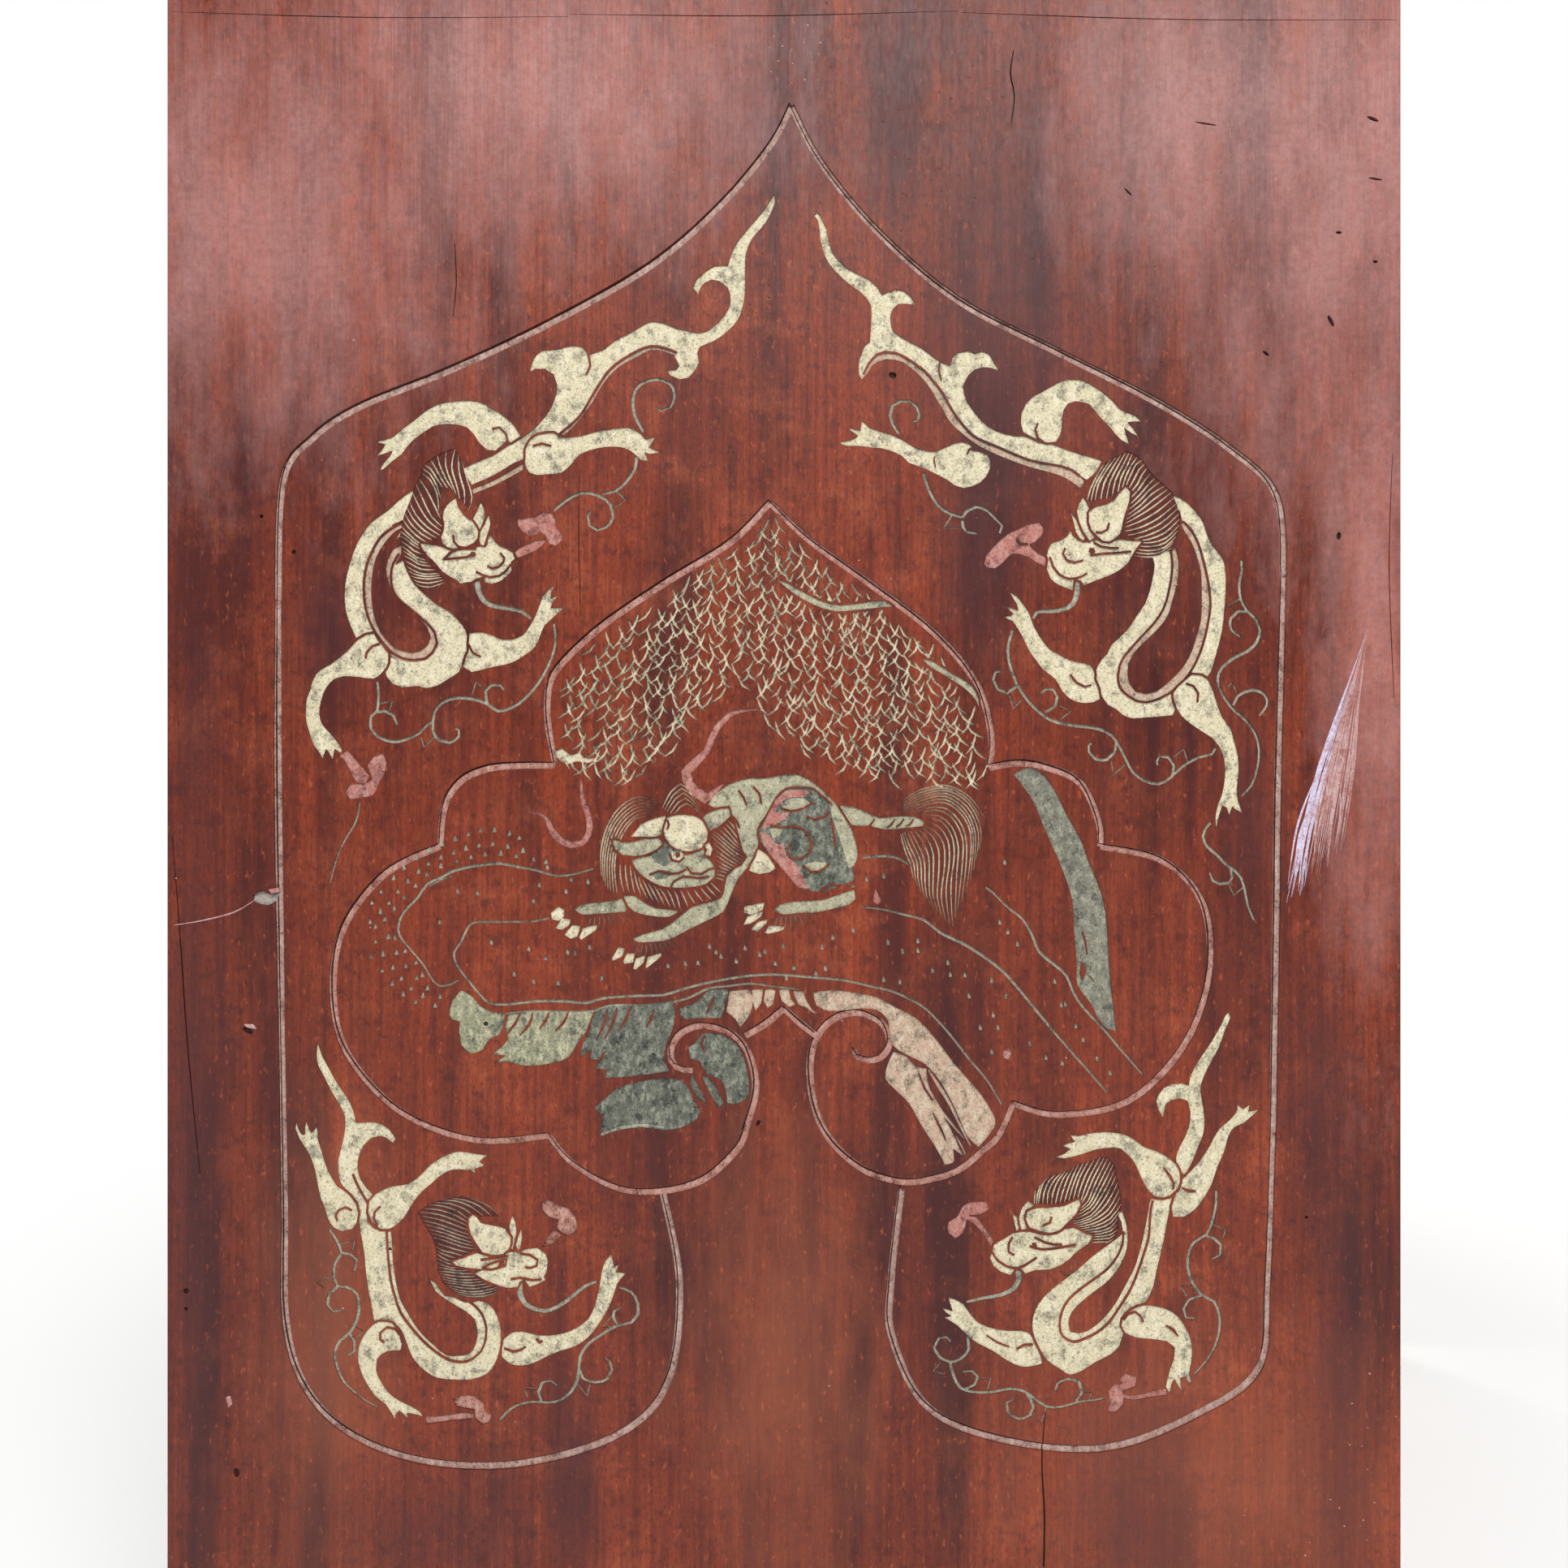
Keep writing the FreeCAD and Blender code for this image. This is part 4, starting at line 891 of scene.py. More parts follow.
vine((430, 1645), (436, 1653), (436, 1666), (427, 1671))
vine((763, 1587), (778, 1593), (786, 1607), (786, 1620), (778, 1630), (758, 1635), (741, 1645),
     (725, 1656), (715, 1671), (713, 1688), (711, 1701), (703, 1716), (690, 1726), (675, 1729),
     (655, 1728), (635, 1733), (622, 1743), (615, 1751))
vine((761, 1633), (756, 1625), (756, 1617), (766, 1611))
leaf_mark((757, 1635), (742, 1636), (755, 1621))
vine((714, 1688), (718, 1699), (733, 1704), (748, 1700), (754, 1688), (751, 1678), (745, 1674))
leaf_mark((711, 1706), (723, 1721), (727, 1706))
vine((667, 1728), (663, 1716), (668, 1704), (678, 1702), (686, 1708))
leaf_mark((662, 1712), (645, 1710), (650, 1724))
cut("rose", (667, 1537), (675, 1525), (682, 1515), (692, 1522), (678, 1535))
cut("rose", (667, 1482), (675, 1479), (688, 1485), (700, 1489), (708, 1499), (711, 1514), (702, 1524),
    (692, 1520), (685, 1514), (688, 1504), (675, 1500), (668, 1492))
cut("rose", (524, 1746), (546, 1745), (572, 1741), (584, 1743), (582, 1749), (552, 1752), (524, 1756))
cut("rose", (557, 1724), (569, 1720), (585, 1721), (595, 1729), (597, 1738), (605, 1744), (602, 1754),
    (594, 1756), (585, 1749), (584, 1738), (572, 1736), (562, 1734))
mane("sage", 2,
     ((615, 1499), (602, 1487), (585, 1479), (569, 1474)),
     ((595, 1499), (579, 1487), (559, 1480), (539, 1480)),
     ((577, 1504), (565, 1494), (546, 1487), (526, 1485)),
     ((577, 1512), (562, 1505), (539, 1497), (514, 1494)),
     ((578, 1522), (562, 1517), (539, 1509), (519, 1504)),
     ((582, 1532), (565, 1527), (546, 1520), (526, 1515)),
     ((585, 1540), (569, 1537), (549, 1530), (532, 1525)),
     ((572, 1549), (559, 1545), (546, 1542), (536, 1537)),
     ((557, 1555), (549, 1553), (542, 1549), (537, 1545)),
     ((569, 1563), (556, 1563), (546, 1560), (539, 1557)),
     ((584, 1570), (569, 1570), (552, 1568), (539, 1567)),
     ((592, 1577), (575, 1578), (559, 1577), (542, 1573)),
     ((602, 1582), (582, 1585), (562, 1583), (544, 1580)),
     ((612, 1587), (592, 1592), (572, 1592), (552, 1587)),
     ((612, 1593), (595, 1598), (575, 1598), (559, 1593)))
limb("cream", (556, 1555), (572, 1550), (587, 1544), (597, 1547), (610, 1548), (622, 1545), (632, 1542),
     (638, 1543), (650, 1539), (662, 1538), (672, 1545), (675, 1555), (673, 1567), (670, 1573),
     (672, 1578), (662, 1583), (652, 1587), (646, 1578), (640, 1580), (637, 1587), (625, 1588),
     (609, 1583), (595, 1577), (584, 1570), (594, 1565), (575, 1563), (561, 1560))
limb("cream", (642, 1514), (643, 1525), (641, 1537), (638, 1542), (635, 1535), (638, 1525))
limb("cream", (631, 1498), (635, 1507), (636, 1519), (633, 1532), (631, 1542), (628, 1535), (630, 1524),
     (627, 1513))
limb("cream", (577, 1502), (582, 1497), (587, 1500), (592, 1507), (605, 1510), (622, 1514), (629, 1525),
     (627, 1539), (619, 1546), (605, 1547), (594, 1544), (587, 1534), (580, 1522), (577, 1512))
dark_line((592, 1553), (608, 1551), (626, 1548))
dark_line((594, 1563), (605, 1557), (624, 1552), (622, 1560), (605, 1565), (594, 1564))
dark_line((640, 1545), (653, 1547), (662, 1553), (661, 1560), (653, 1563), (647, 1562))
dark_line((629, 1577), (640, 1575), (655, 1578), (667, 1577))
cut("film", (615, 1556), (621, 1555), (620, 1560), (613, 1561))

# Lower right dragon
cut("cream", (1514, 1247), (1517, 1254), (1510, 1270), (1503, 1290), (1494, 1307), (1484, 1327),
    (1480, 1343), (1483, 1363), (1485, 1381), (1483, 1399), (1476, 1416), (1469, 1434), (1460, 1449),
    (1450, 1434), (1451, 1420), (1460, 1402), (1466, 1386), (1467, 1370), (1464, 1357), (1455, 1354),
    (1444, 1356), (1437, 1361), (1435, 1370), (1434, 1378), (1428, 1368), (1425, 1357), (1428, 1349),
    (1434, 1341), (1444, 1336), (1457, 1335), (1465, 1338), (1467, 1327), (1476, 1309), (1487, 1293),
    (1496, 1279), (1505, 1263), (1510, 1252))
cut("cream", (1419, 1477), (1433, 1479), (1446, 1473), (1444, 1482), (1441, 1495), (1437, 1516),
    (1432, 1541), (1426, 1566), (1421, 1588), (1412, 1606), (1400, 1620), (1384, 1647), (1380, 1659),
    (1369, 1670), (1351, 1679), (1334, 1690), (1319, 1695), (1307, 1688), (1291, 1677), (1280, 1659),
    (1273, 1641), (1273, 1624), (1280, 1607), (1294, 1591), (1312, 1577), (1330, 1563), (1348, 1547),
    (1366, 1534), (1378, 1525), (1384, 1520), (1382, 1506), (1377, 1495), (1383, 1493), (1387, 1504),
    (1390, 1520), (1389, 1540), (1380, 1561), (1366, 1579), (1348, 1593), (1332, 1606), (1321, 1618),
    (1317, 1631), (1319, 1641), (1330, 1643), (1344, 1638), (1360, 1625), (1375, 1606), (1387, 1584),
    (1398, 1563), (1405, 1541), (1410, 1520), (1414, 1499), (1417, 1482))
dark_line((1421, 1480), (1418, 1495), (1416, 1524), (1410, 1545), (1403, 1566), (1394, 1588), (1380, 1611),
          (1366, 1631), (1351, 1643), (1337, 1650), (1323, 1654), (1310, 1647), (1306, 1634), (1309, 1616),
          (1317, 1602), (1330, 1590), (1348, 1577), (1366, 1563), (1378, 1547), (1384, 1531), (1385, 1518))
limb("cream", (1553, 1367), (1542, 1377), (1534, 1384), (1521, 1390), (1514, 1402), (1509, 1420),
     (1501, 1438), (1494, 1459), (1484, 1477), (1473, 1491), (1459, 1500), (1446, 1500), (1444, 1488),
     (1450, 1470), (1453, 1457), (1462, 1449), (1476, 1434), (1489, 1416), (1496, 1402), (1503, 1391),
     (1517, 1379), (1525, 1368), (1525, 1361), (1532, 1367), (1541, 1361), (1539, 1370))
stroke("film", (1.5, 4.0, 1.5), (1457, 1464), (1465, 1468), (1474, 1468))
limb("cream", (1299, 1426), (1312, 1422), (1319, 1416), (1309, 1412), (1317, 1409), (1325, 1407),
     (1319, 1399), (1330, 1400), (1341, 1397), (1362, 1395), (1380, 1397), (1394, 1402), (1409, 1413),
     (1423, 1418), (1437, 1425), (1450, 1436), (1455, 1450), (1452, 1465), (1442, 1474), (1428, 1476),
     (1416, 1468), (1407, 1452), (1400, 1436), (1392, 1425), (1382, 1416), (1366, 1415), (1348, 1418),
     (1330, 1424), (1312, 1428))
stroke("film", (1.5, 3.6, 2.6, 1.5), (1434, 1439), (1442, 1449), (1447, 1459), (1446, 1466))
limb("cream", (1384, 1625), (1394, 1615), (1409, 1609), (1425, 1610), (1441, 1615), (1453, 1624),
     (1462, 1638), (1469, 1656), (1469, 1677), (1466, 1693), (1469, 1706), (1464, 1702), (1462, 1697),
     (1455, 1699), (1457, 1715), (1451, 1706), (1448, 1700), (1444, 1707), (1442, 1718), (1437, 1709),
     (1439, 1699), (1442, 1688), (1447, 1674), (1448, 1661), (1439, 1654), (1419, 1651), (1401, 1649),
     (1387, 1643), (1382, 1634))
dark_line((1385, 1627), (1390, 1620), (1399, 1617), (1406, 1622), (1409, 1629))
stroke("film", (1.5, 4.0, 1.5), (1437, 1634), (1446, 1639), (1452, 1647))
limb("cream", (1169, 1599), (1178, 1602), (1187, 1607), (1196, 1620), (1207, 1631), (1219, 1636),
     (1241, 1640), (1259, 1640), (1269, 1643), (1275, 1656), (1282, 1670), (1285, 1681), (1275, 1684),
     (1259, 1685), (1241, 1677), (1223, 1665), (1205, 1656), (1191, 1645), (1180, 1634), (1169, 1627),
     (1163, 1624), (1172, 1622), (1166, 1618), (1161, 1612), (1174, 1616), (1171, 1607))
dark_line((1253, 1663), (1262, 1658), (1273, 1657))
stroke("film", (1.2, 2.0, 1.2), (1216, 1646), (1230, 1655), (1244, 1660))
stroke("sage", TENDRIL, (1255, 1565), (1256, 1577), (1250, 1588), (1234, 1596), (1212, 1600), (1191, 1605))
vine((1192, 1647), (1194, 1663), (1184, 1675), (1171, 1679), (1159, 1674), (1151, 1661), (1157, 1650),
     (1166, 1648), (1172, 1654))
leaf_mark((1160, 1679), (1150, 1690), (1166, 1695))
vine((1171, 1679), (1175, 1695), (1184, 1711), (1201, 1716), (1223, 1716), (1244, 1712), (1262, 1715),
     (1275, 1724), (1291, 1734), (1309, 1734), (1330, 1728), (1348, 1726), (1362, 1723))
vine((1187, 1713), (1201, 1707), (1205, 1697), (1198, 1690), (1187, 1691))
leaf_mark((1205, 1700), (1221, 1699), (1217, 1714))
vine((1266, 1718), (1274, 1734), (1269, 1745), (1255, 1749), (1242, 1740), (1241, 1729), (1250, 1725))
leaf_mark((1290, 1734), (1284, 1753), (1271, 1745))
vine((1326, 1727), (1334, 1716), (1330, 1704), (1316, 1700), (1303, 1706), (1301, 1714))
leaf_mark((1330, 1715), (1346, 1716), (1342, 1726))
vine((1499, 1467), (1499, 1484), (1494, 1506), (1487, 1522), (1471, 1532), (1464, 1552), (1467, 1574),
     (1480, 1595), (1496, 1604), (1503, 1620), (1503, 1641), (1496, 1663), (1484, 1681), (1472, 1694))
vine((1487, 1524), (1496, 1526), (1505, 1534), (1504, 1547), (1494, 1552))
leaf_mark((1494, 1509), (1511, 1516), (1507, 1527))
vine((1482, 1597), (1466, 1602), (1459, 1613), (1462, 1624), (1473, 1625))
leaf_mark((1464, 1599), (1455, 1585), (1469, 1584))
stroke("rose", (2.0, 2.6, 2.0), (1306, 1556), (1306, 1566), (1315, 1572), (1325, 1568), (1328, 1558),
       (1324, 1551))
cut("pink", (1223, 1540), (1214, 1524), (1201, 1509), (1189, 1502), (1194, 1498), (1203, 1500),
    (1217, 1518), (1225, 1531))
cut("pink", (1169, 1520), (1169, 1506), (1180, 1499), (1187, 1486), (1201, 1481), (1216, 1481),
    (1219, 1491), (1209, 1497), (1194, 1498), (1191, 1506), (1187, 1520), (1178, 1527))
cut("pink", (1384, 1718), (1398, 1720), (1419, 1715), (1437, 1711), (1439, 1720), (1419, 1722),
    (1398, 1726), (1384, 1723))
cut("pink", (1365, 1740), (1369, 1729), (1366, 1715), (1373, 1706), (1384, 1706), (1380, 1700),
    (1387, 1693), (1401, 1697), (1400, 1709), (1384, 1715), (1385, 1731), (1376, 1741))
mane("cream", 2,
     ((1275, 1486), (1275, 1477), (1276, 1470), (1276, 1466)),
     ((1280, 1484), (1282, 1470), (1287, 1456), (1294, 1449)),
     ((1291, 1484), (1292, 1470), (1300, 1454), (1309, 1445)),
     ((1301, 1484), (1304, 1470), (1310, 1454), (1319, 1441)),
     ((1312, 1482), (1316, 1468), (1323, 1449), (1330, 1434)),
     ((1323, 1479), (1326, 1466), (1332, 1449), (1342, 1431)),
     ((1332, 1482), (1337, 1466), (1344, 1449), (1357, 1425)),
     ((1330, 1491), (1341, 1481), (1350, 1459), (1366, 1427)),
     ((1326, 1499), (1344, 1488), (1357, 1466), (1373, 1434)),
     ((1323, 1506), (1344, 1499), (1362, 1477), (1376, 1449)),
     ((1323, 1511), (1344, 1506), (1366, 1491), (1380, 1466)),
     ((1330, 1515), (1351, 1511), (1369, 1502), (1382, 1484)),
     ((1337, 1519), (1355, 1518), (1369, 1513), (1378, 1502)),
     ((1346, 1525), (1359, 1524), (1369, 1522), (1378, 1516)),
     ((1342, 1532), (1355, 1531), (1366, 1531), (1373, 1527)))
limb("cream", (1223, 1543), (1225, 1534), (1237, 1527), (1248, 1520), (1258, 1518), (1269, 1518),
     (1280, 1521), (1294, 1522), (1312, 1515), (1323, 1513), (1337, 1520), (1348, 1523), (1341, 1534),
     (1330, 1541), (1323, 1547), (1319, 1552), (1309, 1559), (1294, 1565), (1276, 1566), (1264, 1570),
     (1260, 1565), (1252, 1563), (1246, 1572), (1234, 1568), (1225, 1561), (1220, 1550))
limb("cream", (1248, 1495), (1253, 1500), (1257, 1513), (1253, 1518), (1250, 1506))
limb("cream", (1267, 1480), (1275, 1486), (1266, 1491), (1262, 1502), (1266, 1515), (1259, 1516),
     (1256, 1502), (1260, 1488))
limb("cream", (1264, 1502), (1266, 1493), (1276, 1489), (1294, 1488), (1312, 1486), (1323, 1481),
     (1330, 1478), (1332, 1484), (1326, 1497), (1316, 1507), (1307, 1516), (1294, 1520), (1280, 1517),
     (1269, 1513))
dark_line((1296, 1500), (1294, 1507), (1285, 1511))
dark_line((1222, 1542), (1230, 1554), (1241, 1561), (1255, 1563), (1269, 1556), (1278, 1550))
dark_line((1248, 1525), (1243, 1534), (1243, 1543), (1250, 1547))
dark_line((1275, 1525), (1287, 1531), (1298, 1534), (1309, 1534))
dark_line((1269, 1536), (1284, 1540), (1305, 1538), (1326, 1534))
cut("film", (1272, 1532), (1277, 1532), (1278, 1537), (1273, 1538))

BETWEEN_DRAGONS = 1180
dragons_above = []
dragons_below = []
for colour, points in drawing[dragons_start:]:
    above = max(point.y for point in points) < BETWEEN_DRAGONS
    (dragons_above if above else dragons_below).append((colour, points))

# Garden inside the cartouche: banks of a stream, rocks, tree trunk, willow and a lion-like beast.
PATH = (2.4, 3.8, 3.4, 2.4)
stroke("sage", PATH, (731, 1070), (707, 1077), (685, 1079), (659, 1072), (637, 1068), (615, 1064),
       (585, 1067), (559, 1073), (544, 1081), (526, 1089), (515, 1105), (498, 1123), (491, 1138),
       (492, 1153), (507, 1172), (522, 1190), (533, 1209), (541, 1215), (555, 1213), (565, 1208))
stroke("sage", (1.6, 2.4, 1.6), (557, 1079), (544, 1084), (528, 1092))
stroke("sage", PATH, (677, 1131), (659, 1135), (622, 1136), (592, 1136), (578, 1140), (568, 1160),
       (559, 1174), (563, 1190), (578, 1210), (592, 1227), (603, 1236), (622, 1238), (659, 1234),
       (696, 1234), (722, 1236), (744, 1230), (788, 1227), (818, 1226), (844, 1218), (877, 1210),
       (918, 1203), (955, 1201), (996, 1204), (1039, 1208), (1071, 1215), (1103, 1223), (1135, 1239),
       (1155, 1257), (1174, 1279), (1196, 1307), (1217, 1332), (1235, 1362))
stroke("sage", PATH, (622, 1249), (659, 1246), (722, 1247), (755, 1239), (800, 1239), (844, 1231),
       (873, 1218), (899, 1215), (925, 1212), (955, 1216), (985, 1219))
stroke("sage", PATH, (1062, 1118), (1085, 1120), (1114, 1127), (1139, 1134), (1160, 1150), (1189, 1164),
       (1217, 1182), (1239, 1200), (1264, 1229), (1296, 1268), (1324, 1300), (1346, 1325), (1365, 1347))
stroke("sage", PATH, (1214, 1093), (1224, 1100), (1242, 1118), (1260, 1132), (1271, 1150), (1281, 1173),
       (1296, 1186), (1314, 1202), (1324, 1225), (1339, 1246), (1360, 1268), (1381, 1293), (1409, 1325))
stroke("sage", PATH, (1062, 1057), (1081, 1055), (1103, 1056), (1120, 1065))
cut("bark", (1249, 954), (1264, 946), (1278, 948), (1290, 959), (1303, 979), (1315, 1004), (1331, 1032),
    (1342, 1061), (1355, 1093), (1362, 1118), (1365, 1150), (1367, 1186), (1371, 1229), (1376, 1271),
    (1364, 1268), (1353, 1254), (1344, 1236), (1328, 1214), (1327, 1186), (1324, 1150), (1322, 1114),
    (1317, 1093), (1305, 1061), (1289, 1025), (1274, 989), (1260, 968))
cut("film", (1333, 1184), (1339, 1196), (1335, 1208), (1331, 1200))
cut("film", (1340, 1200), (1350, 1211), (1345, 1204))
stroke("film", (1.2, 2.0, 1.2), (1334, 1148), (1338, 1162), (1340, 1176))
cut("moss", (553, 1251), (557, 1233), (568, 1220), (581, 1227), (592, 1240), (607, 1247), (622, 1249),
    (620, 1264), (615, 1275), (602, 1281), (594, 1294), (579, 1299), (568, 1288), (565, 1271), (566, 1259),
    (557, 1257))
cut("moss", (626, 1250), (659, 1247), (692, 1246), (718, 1247), (731, 1247), (726, 1260), (722, 1271),
    (711, 1286), (700, 1303), (681, 1310), (655, 1314), (637, 1312), (626, 1308), (609, 1310), (622, 1301),
    (605, 1299), (618, 1290), (626, 1281), (622, 1268))
cut("slate", (733, 1248), (755, 1240), (792, 1239), (829, 1234), (832, 1246), (829, 1268), (822, 1283),
    (818, 1305), (825, 1320), (807, 1323), (777, 1327), (744, 1329), (748, 1318), (733, 1318), (738, 1307),
    (726, 1305), (729, 1294), (714, 1303), (718, 1286), (726, 1271))
cut("slate", (837, 1242), (859, 1234), (873, 1220), (898, 1219), (894, 1238), (888, 1255), (862, 1255),
    (838, 1258))
cut("slate", (866, 1273), (888, 1275), (907, 1286), (918, 1308), (922, 1327), (923, 1349), (910, 1360),
    (896, 1360), (894, 1342), (888, 1331), (870, 1323), (862, 1308), (850, 1305), (848, 1290), (856, 1286))
cut("slate", (853, 1323), (862, 1342), (872, 1360), (862, 1356), (851, 1338))
cut("slate", (864, 1323), (877, 1331), (892, 1360), (885, 1366), (870, 1338))
cut("slate", (732, 1366), (744, 1355), (759, 1342), (781, 1334), (814, 1329), (840, 1331), (848, 1340),
    (855, 1356), (863, 1369), (859, 1379), (840, 1390), (818, 1393), (792, 1390), (763, 1393), (740, 1401),
    (740, 1390), (742, 1375))
stroke("sage", (2.0, 4.0, 3.0, 2.0), (741, 1398), (764, 1391), (792, 1387), (818, 1390))
CLEFT = (1.5, 3.4, 1.2)
for start, middle, end in (
        ((640, 1250), (634, 1262), (622, 1276)), ((656, 1248), (652, 1262), (640, 1276)),
        ((676, 1248), (672, 1258), (664, 1268)), ((700, 1247), (694, 1260), (684, 1270)),
        ((748, 1244), (744, 1262), (734, 1282)), ((760, 1242), (754, 1262), (745, 1280)),
        ((777, 1240), (772, 1254), (762, 1270)), ((832, 1248), (842, 1256), (852, 1262)),
        ((868, 1276), (864, 1286), (868, 1298)), ((880, 1228), (876, 1238), (870, 1248)),
        ((745, 1296), (740, 1306), (730, 1312)), ((806, 1244), (802, 1256), (796, 1266))):
    stroke("film", CLEFT, start, middle, end)
cut("tan", (899, 1221), (923, 1219), (928, 1232), (924, 1250), (912, 1266), (906, 1256), (895, 1247))
cut("tan", (926, 1219), (940, 1219), (938, 1236), (931, 1246), (927, 1232))
cut("tan", (943, 1219), (956, 1219), (952, 1238), (946, 1243), (941, 1234))
cut("tan", (960, 1219), (972, 1219), (975, 1232), (981, 1238), (972, 1241), (963, 1233))
cut("tan", (977, 1221), (990, 1222), (995, 1235), (1000, 1243), (1008, 1250), (1012, 1252), (1001, 1248),
    (994, 1242), (984, 1238))
cut("tan", (1002, 1223), (1024, 1220), (1053, 1223), (1081, 1229), (1103, 1241), (1128, 1254),
    (1149, 1275), (1171, 1304), (1192, 1329), (1210, 1350), (1227, 1380), (1222, 1395), (1206, 1414),
    (1192, 1400), (1181, 1375), (1171, 1354), (1156, 1329), (1139, 1311), (1117, 1300), (1101, 1289),
    (1097, 1275), (1094, 1257), (1081, 1245), (1060, 1243), (1042, 1245), (1021, 1246), (1006, 1239))
cut("tan", (1101, 1296), (1117, 1302), (1128, 1314), (1142, 1316), (1143, 1330), (1149, 1350),
    (1160, 1370), (1174, 1396), (1187, 1425), (1175, 1416), (1176, 1429), (1174, 1434), (1165, 1436),
    (1153, 1414), (1135, 1386), (1121, 1361), (1103, 1343), (1091, 1329), (1094, 1311))
stroke("film", (1.4, 2.8, 1.6), (1132, 1322), (1140, 1342), (1150, 1356))
stroke("film", (1.4, 2.6, 1.4), (1150, 1372), (1160, 1392), (1166, 1406))
stroke("film", (1.0, 2.2, 1.0), (1168, 1298), (1178, 1312), (1186, 1318))
stroke("tan", (2.0, 5.0, 4.0, 3.0, 1.4), (1144, 1318), (1160, 1343), (1171, 1361), (1181, 1382),
       (1197, 1414))
stroke("tan", (1.4, 4.0, 3.0, 1.2), (1146, 1343), (1158, 1366), (1172, 1384), (1189, 1404))
stroke("tan", (1.4, 3.0, 1.4), (1178, 1400), (1186, 1414), (1190, 1424))

# Small nicks for grass on the far bank and pebbles in the meadow
BANK_ROWS = (
    ((640, 1032), (600, 1022), (560, 1034), (520, 1052), (484, 1082), (458, 1112)),
    ((650, 1050), (606, 1040), (566, 1048), (528, 1064), (496, 1092), (468, 1124), (452, 1140)),
    ((672, 1062), (616, 1052), (572, 1058), (534, 1072), (504, 1098), (480, 1126), (462, 1142)),
    ((452, 1172), (470, 1196), (490, 1220), (516, 1238)),
    ((462, 1160), (478, 1186), (500, 1212), (526, 1232), (542, 1244)),
    ((474, 1148), (488, 1174), (506, 1198), (526, 1218), (548, 1232)),
    ((486, 1156), (498, 1172), (512, 1186), (520, 1202)))
BLADE_HEIGHT = 3.6
for row, points in enumerate(BANK_ROWS):
    middle = smooth(points, False)
    for number, place in enumerate(middle[row % 2::2]):
        tall = BLADE_HEIGHT + (number * 7 + row * 3) % 4
        lean = (number * 5 + row) % 3 - 1
        tip = (place.x + lean, place.y - tall)
        cut("sage", (place.x - 3, place.y + 3), tip, (place.x + 3.4, place.y + 2.4))
for x, y in (
        (874, 1166), (882, 1173), (888, 1178), (907, 1184), (918, 1168), (936, 1176), (942, 1172),
        (965, 1166), (955, 1187), (978, 1192), (1013, 1167), (1017, 1193), (1026, 1155), (1051, 1146),
        (1068, 1083), (1089, 1079), (1094, 1161), (1112, 1172), (1131, 1159), (1131, 1171), (1149, 1196),
        (1168, 1186), (1171, 1201), (1189, 1201), (1109, 1210), (1089, 1207), (1005, 1199), (969, 1205),
        (844, 1187), (860, 1186), (823, 1190), (726, 1167), (708, 1174), (699, 1173), (651, 1169),
        (687, 1211), (657, 1209), (741, 1205), (664, 1090), (703, 1083), (724, 1086), (674, 1068),
        (588, 1100), (563, 1098), (541, 1136), (605, 1161), (633, 1200), (697, 1098), (657, 1110),
        (672, 1180), (1232, 1136), (1242, 1148), (1254, 1163), (1300, 1209), (1222, 1208), (1194, 1227),
        (1240, 1227), (1224, 1251), (1208, 1266), (1230, 1266), (1308, 1238), (1313, 1237), (1326, 1264),
        (1335, 1281), (1269, 1286), (1289, 1303), (1309, 1310), (1352, 1304), (1368, 1322), (1222, 1296),
        (1238, 1062)):
    cut("sage", (x - 2, y + 3), (x - 1, y - 4), (x + 2, y - 1), (x + 2.6, y + 4))
cut("pink", (1079, 1094), (1083, 1104), (1087, 1110), (1082, 1115), (1076, 1111), (1077, 1103))
cut("pink", (1235, 1296), (1243, 1291), (1248, 1297), (1243, 1306), (1237, 1304))

# Willow that fills the top of the cartouche: twigs hang in rows and carry paired leaves
TWIG_SPACING = 16.0
LEAF_SPACING = 16.5
TWIG_ROWS = 30
TWIG_COLUMNS = 22
TWIG_TOP = (949, 622)
TWIG_FAN = 60
TWIG_REACH = (12, 19)
TWIG_DROP = (17, 26)
TWIG_WIDTHS = (1.0, 3.3, 2.9, 0.9)
TWIG_SHARE = 0.93
FADED_RIGHT = 820
FADED_FOOT = 720
FADED_PALE_SHARE = 0.45
PALE_SHARE = 0.95
WILLOW_ARCH = (
    (946, 628), (900, 675), (819, 726), (742, 779), (692, 828), (682, 856), (683, 893), (692, 940),
    (1212, 946), (1214, 906), (1195, 846), (1146, 786), (1067, 726), (997, 676), (951, 628))
WILLOW_FOOT = (
    (680, 950), (752, 976), (790, 958), (824, 940), (860, 893), (895, 846), (930, 868), (948, 900),
    (989, 928), (1039, 964), (1104, 974), (1183, 972), (1232, 984))
BELOW_ARCH = (696, 1224, 935)
arch = [Vector(place) for place in WILLOW_ARCH]


def willow_foot(x):
    """How far down the willow hangs at a place across the picture."""
    for (left, high), (right, low) in zip(WILLOW_FOOT, WILLOW_FOOT[1:]):
        if left <= x <= right:
            return high + (low - high) * (x - left) / (right - left)
    return WILLOW_FOOT[0][1]


def under_arch(x, y):
    """Whether a place lies between the arch and the foot of the willow."""
    crossings = 0
    for start, end in zip(arch, arch[1:] + arch[:1]):
        if (start.y <= y) != (end.y <= y):
            crossings += start.x + (y - start.y) * (end.x - start.x) / (end.y - start.y) > x
    in_gap = BELOW_ARCH[0] < x < BELOW_ARCH[1] and y > BELOW_ARCH[2]
    return y < willow_foot(x) and (crossings % 2 == 1 or in_gap)


